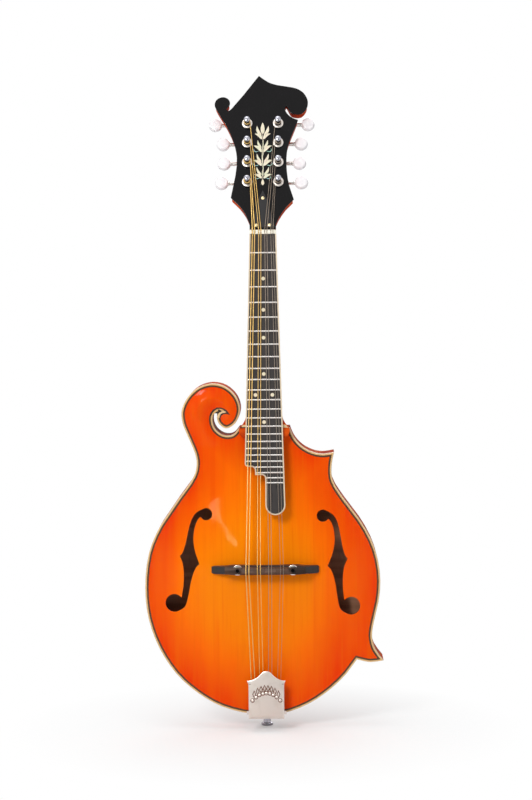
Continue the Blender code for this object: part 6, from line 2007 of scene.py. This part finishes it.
def make_camera():
    """Camera at the photograph's place, framed for its own picture size."""
    stage = settings("stage")
    width, height = PICTURE
    data = bpy.data.cameras.new("camera")
    data.sensor_fit = "VERTICAL"
    data.sensor_height = 24.0
    data.lens = stage.focal * data.sensor_height / height
    data.shift_x = (width / 2 - PRINCIPAL[0]) / height
    data.shift_y = (PRINCIPAL[1] - height / 2) / height
    data.clip_start = 0.1
    data.clip_end = 20.0
    made = bpy.data.objects.new("camera", data)
    bpy.context.scene.collection.objects.link(made)
    away = Vector((math.sin(stage.turn) * math.cos(stage.pitch), -math.cos(stage.turn) * math.cos(stage.pitch),
                   math.sin(stage.pitch)))
    turn = away.to_track_quat("Z", "Y").to_matrix().to_4x4() @ Matrix.Rotation(stage.roll, 4, "Z")
    made.matrix_world = Matrix.Translation(LOOK_AT + away * stage.distance) @ turn
    bpy.context.scene.camera = made


def make_floor():
    """Pale floor whose far part fades to white, and which keeps the instrument's shadow."""
    made = Finish("stage_floor", settings("stage").floor, 0.9)
    place = made.node("ShaderNodeTexCoord", out="Object")
    length = made.node("ShaderNodeVectorMath", {"operation": "LENGTH"}, {0: place}, 1)
    tone = made.noise(6.0, (1.0, 1.0, 1.0), 2.0)
    made.put("Roughness", 0.85 + tone * 0.1)
    far = length.over(-0.10, 0.28)
    path = made.node("ShaderNodeLightPath", out="Is Camera Ray")
    white = made.node("ShaderNodeEmission", None, {"Strength": 1.0})
    pale = Wire(made, made.shader.outputs[0])
    mixed = made.node("ShaderNodeMixShader", None, {0: path * far, 1: pale, 2: white})
    made.fill(made.tree.nodes["Material Output"].inputs["Surface"], mixed)
    bm = bmesh.new()
    sides = 96
    centre = bm.verts.new((0.0, 0.0, 0.0))
    ring = [bm.verts.new((4.0 * math.cos(2 * math.pi * i / sides), 4.0 * math.sin(2 * math.pi * i / sides), 0.0))
            for i in range(sides)]
    for i in range(sides):
        bm.faces.new((centre, ring[i], ring[(i + 1) % sides]))
    mesh = bpy.data.meshes.new("floor")
    bm.to_mesh(mesh)
    bm.free()
    mesh.materials.append(made.material)
    floor = bpy.data.objects.new("floor", mesh)
    floor.location = (0.0, 0.0, SOLIDS_BOX[0][2] - 0.0005)
    bpy.context.scene.collection.objects.link(floor)


def make_world():
    """Soft surroundings; the camera, metal and glass see them white, but for a dim patch round the camera."""
    world = bpy.data.worlds.new("surroundings")
    bpy.context.scene.world = world
    world.use_nodes = True
    sky = Nodes(world.node_tree)
    place = sky.node("ShaderNodeTexCoord", out="Generated")
    front = sky.node("ShaderNodeSeparateXYZ", None, {0: place}, "Y")
    polished = sky.node("ShaderNodeLightPath", out="Is Glossy Ray")
    clear = sky.node("ShaderNodeLightPath", out="Is Transmission Ray")
    seen = sky.node("ShaderNodeLightPath", out="Is Camera Ray") + (polished + clear) * front.over(-0.98, -0.78)
    soft = sky.node("ShaderNodeBackground", None, {"Color": (1.0, 1.0, 1.0), "Strength": 0.31})
    white = sky.node("ShaderNodeBackground", None, {"Color": (1.0, 1.0, 1.0), "Strength": 1.0})
    mixed = sky.node("ShaderNodeMixShader", None, {0: seen, 1: soft, 2: white})
    sky.fill(sky.tree.nodes["World Output"].inputs["Surface"], mixed)


WHITE_LIGHT = (1.0, 1.0, 1.0)
WINDOW_LIGHT = (0.7, 1.0, 0.52)
LAMPS = (
    ("key_softbox", (-0.95, -2.2, 1.05), 0.65, 0.75, 43.0, 0.0, WHITE_LIGHT),
    ("fill_softbox", (1.7, -1.9, 0.5), 0.9, 1.6, 6.0, 0.0, WHITE_LIGHT),
    ("window_softbox", (-0.639, -2.54, -0.182), 0.14, 0.062, 0.64, -20.0, WINDOW_LIGHT),
    ("top_softbox", (-0.3, -0.3, 1.9), 1.4, 1.0, 12.0, 0.0, WHITE_LIGHT),
    ("back_softbox", (0.4, 2.2, 0.9), 1.4, 1.4, 16.0, 0.0, WHITE_LIGHT),
)


def make_lamps():
    """Soft boxes round the instrument."""
    for name, place, width, height, power, roll, tint in LAMPS:
        data = bpy.data.lights.new(name, "AREA")
        data.shape = "RECTANGLE"
        data.size = width
        data.size_y = height
        data.energy = power
        data.color = tint
        made = bpy.data.objects.new(name, data)
        bpy.context.scene.collection.objects.link(made)
        aim = Vector(place) - LOOK_AT
        turned = aim.to_track_quat("Z", "Y").to_matrix().to_4x4() @ Matrix.Rotation(math.radians(roll), 4, "Z")
        made.matrix_world = Matrix.Translation(place) @ turned


def make_stage():
    """Camera, floor, surroundings and lamps."""
    bpy.context.scene.view_settings.view_transform = "Standard"
    make_camera()
    make_floor()
    make_world()
    make_lamps()


# Operators

class MANDOLIN_OT_body(bpy.types.Operator):
    """Make the plates, bindings, rim and blocks"""

    bl_idname = "mandolin.body"
    bl_label = "Body"

    def execute(self, context):
        make_top()
        make_back()
        make_bindings()
        make_rim()
        make_blocks()
        return {"FINISHED"}


class MANDOLIN_OT_neck(bpy.types.Operator):
    """Make the neck and its truss rod"""

    bl_idname = "mandolin.neck"
    bl_label = "Neck"

    def execute(self, context):
        make_neck()
        make_truss_rod()
        return {"FINISHED"}


class MANDOLIN_OT_fingerboard(bpy.types.Operator):
    """Make the fingerboard, frets, dots, binding and nut"""

    bl_idname = "mandolin.fingerboard"
    bl_label = "Fingerboard"

    def execute(self, context):
        make_fingerboard()
        make_nut()
        return {"FINISHED"}


class MANDOLIN_OT_peghead(bpy.types.Operator):
    """Make the peghead's face, ornament and rod cover"""

    bl_idname = "mandolin.peghead"
    bl_label = "Peghead"

    def execute(self, context):
        make_peghead_face()
        make_ornament()
        make_rod_cover()
        return {"FINISHED"}


class MANDOLIN_OT_tuners(bpy.types.Operator):
    """Make the posts, worms, buttons and plates of the tuners"""

    bl_idname = "mandolin.tuners"
    bl_label = "Tuners"

    def execute(self, context):
        make_tuners()
        return {"FINISHED"}


class MANDOLIN_OT_bridge(bpy.types.Operator):
    """Make the bridge foot, thumbwheels and saddle"""

    bl_idname = "mandolin.bridge"
    bl_label = "Bridge"

    def execute(self, context):
        make_bridge()
        return {"FINISHED"}


class MANDOLIN_OT_tailpiece(bpy.types.Operator):
    """Make the tailpiece and end pin"""

    bl_idname = "mandolin.tailpiece"
    bl_label = "Tailpiece"

    def execute(self, context):
        make_tailpiece()
        return {"FINISHED"}


class MANDOLIN_OT_strings(bpy.types.Operator):
    """Make the eight strings with their loops and windings"""

    bl_idname = "mandolin.strings"
    bl_label = "Strings"

    def execute(self, context):
        make_strings()
        return {"FINISHED"}


class MANDOLIN_OT_stage(bpy.types.Operator):
    """Make the camera, floor, surroundings and lamps"""

    bl_idname = "mandolin.stage"
    bl_label = "Stage"

    def execute(self, context):
        make_stage()
        return {"FINISHED"}


OPERATORS = (
    MANDOLIN_OT_stage, MANDOLIN_OT_body, MANDOLIN_OT_neck, MANDOLIN_OT_fingerboard, MANDOLIN_OT_peghead,
    MANDOLIN_OT_tuners, MANDOLIN_OT_bridge, MANDOLIN_OT_tailpiece, MANDOLIN_OT_strings,
)


class MANDOLIN_PT_sidebar(bpy.types.Panel):
    """Settings and makers of the mandolin"""

    bl_label = "Mandolin"
    bl_idname = "MANDOLIN_PT_sidebar"
    bl_space_type = "VIEW_3D"
    bl_region_type = "UI"
    bl_category = "Mandolin"

    def draw(self, context):
        for name, group in SETTINGS.items():
            box = self.layout.box()
            box.label(text=group.__doc__)
            for key in group.__annotations__:
                box.prop(getattr(context.scene, name), key)
        for operator in OPERATORS:
            self.layout.operator(operator.bl_idname)


def register():
    for group in SETTINGS.values():
        bpy.utils.register_class(group)
    for name, group in SETTINGS.items():
        setattr(bpy.types.Scene, name, PointerProperty(type=group))
    for kind in (*OPERATORS, MANDOLIN_PT_sidebar):
        bpy.utils.register_class(kind)


def unregister():
    for kind in (MANDOLIN_PT_sidebar, *reversed(OPERATORS)):
        bpy.utils.unregister_class(kind)
    for name, group in SETTINGS.items():
        delattr(bpy.types.Scene, name)
        bpy.utils.unregister_class(group)


def main():
    """Register the classes and make every piece in order."""
    register()
    bpy.ops.mandolin.stage()
    bpy.ops.mandolin.body()
    bpy.ops.mandolin.neck()
    bpy.ops.mandolin.fingerboard()
    bpy.ops.mandolin.peghead()
    bpy.ops.mandolin.tuners()
    bpy.ops.mandolin.bridge()
    bpy.ops.mandolin.tailpiece()
    bpy.ops.mandolin.strings()


if __name__ == "__main__":
    main()
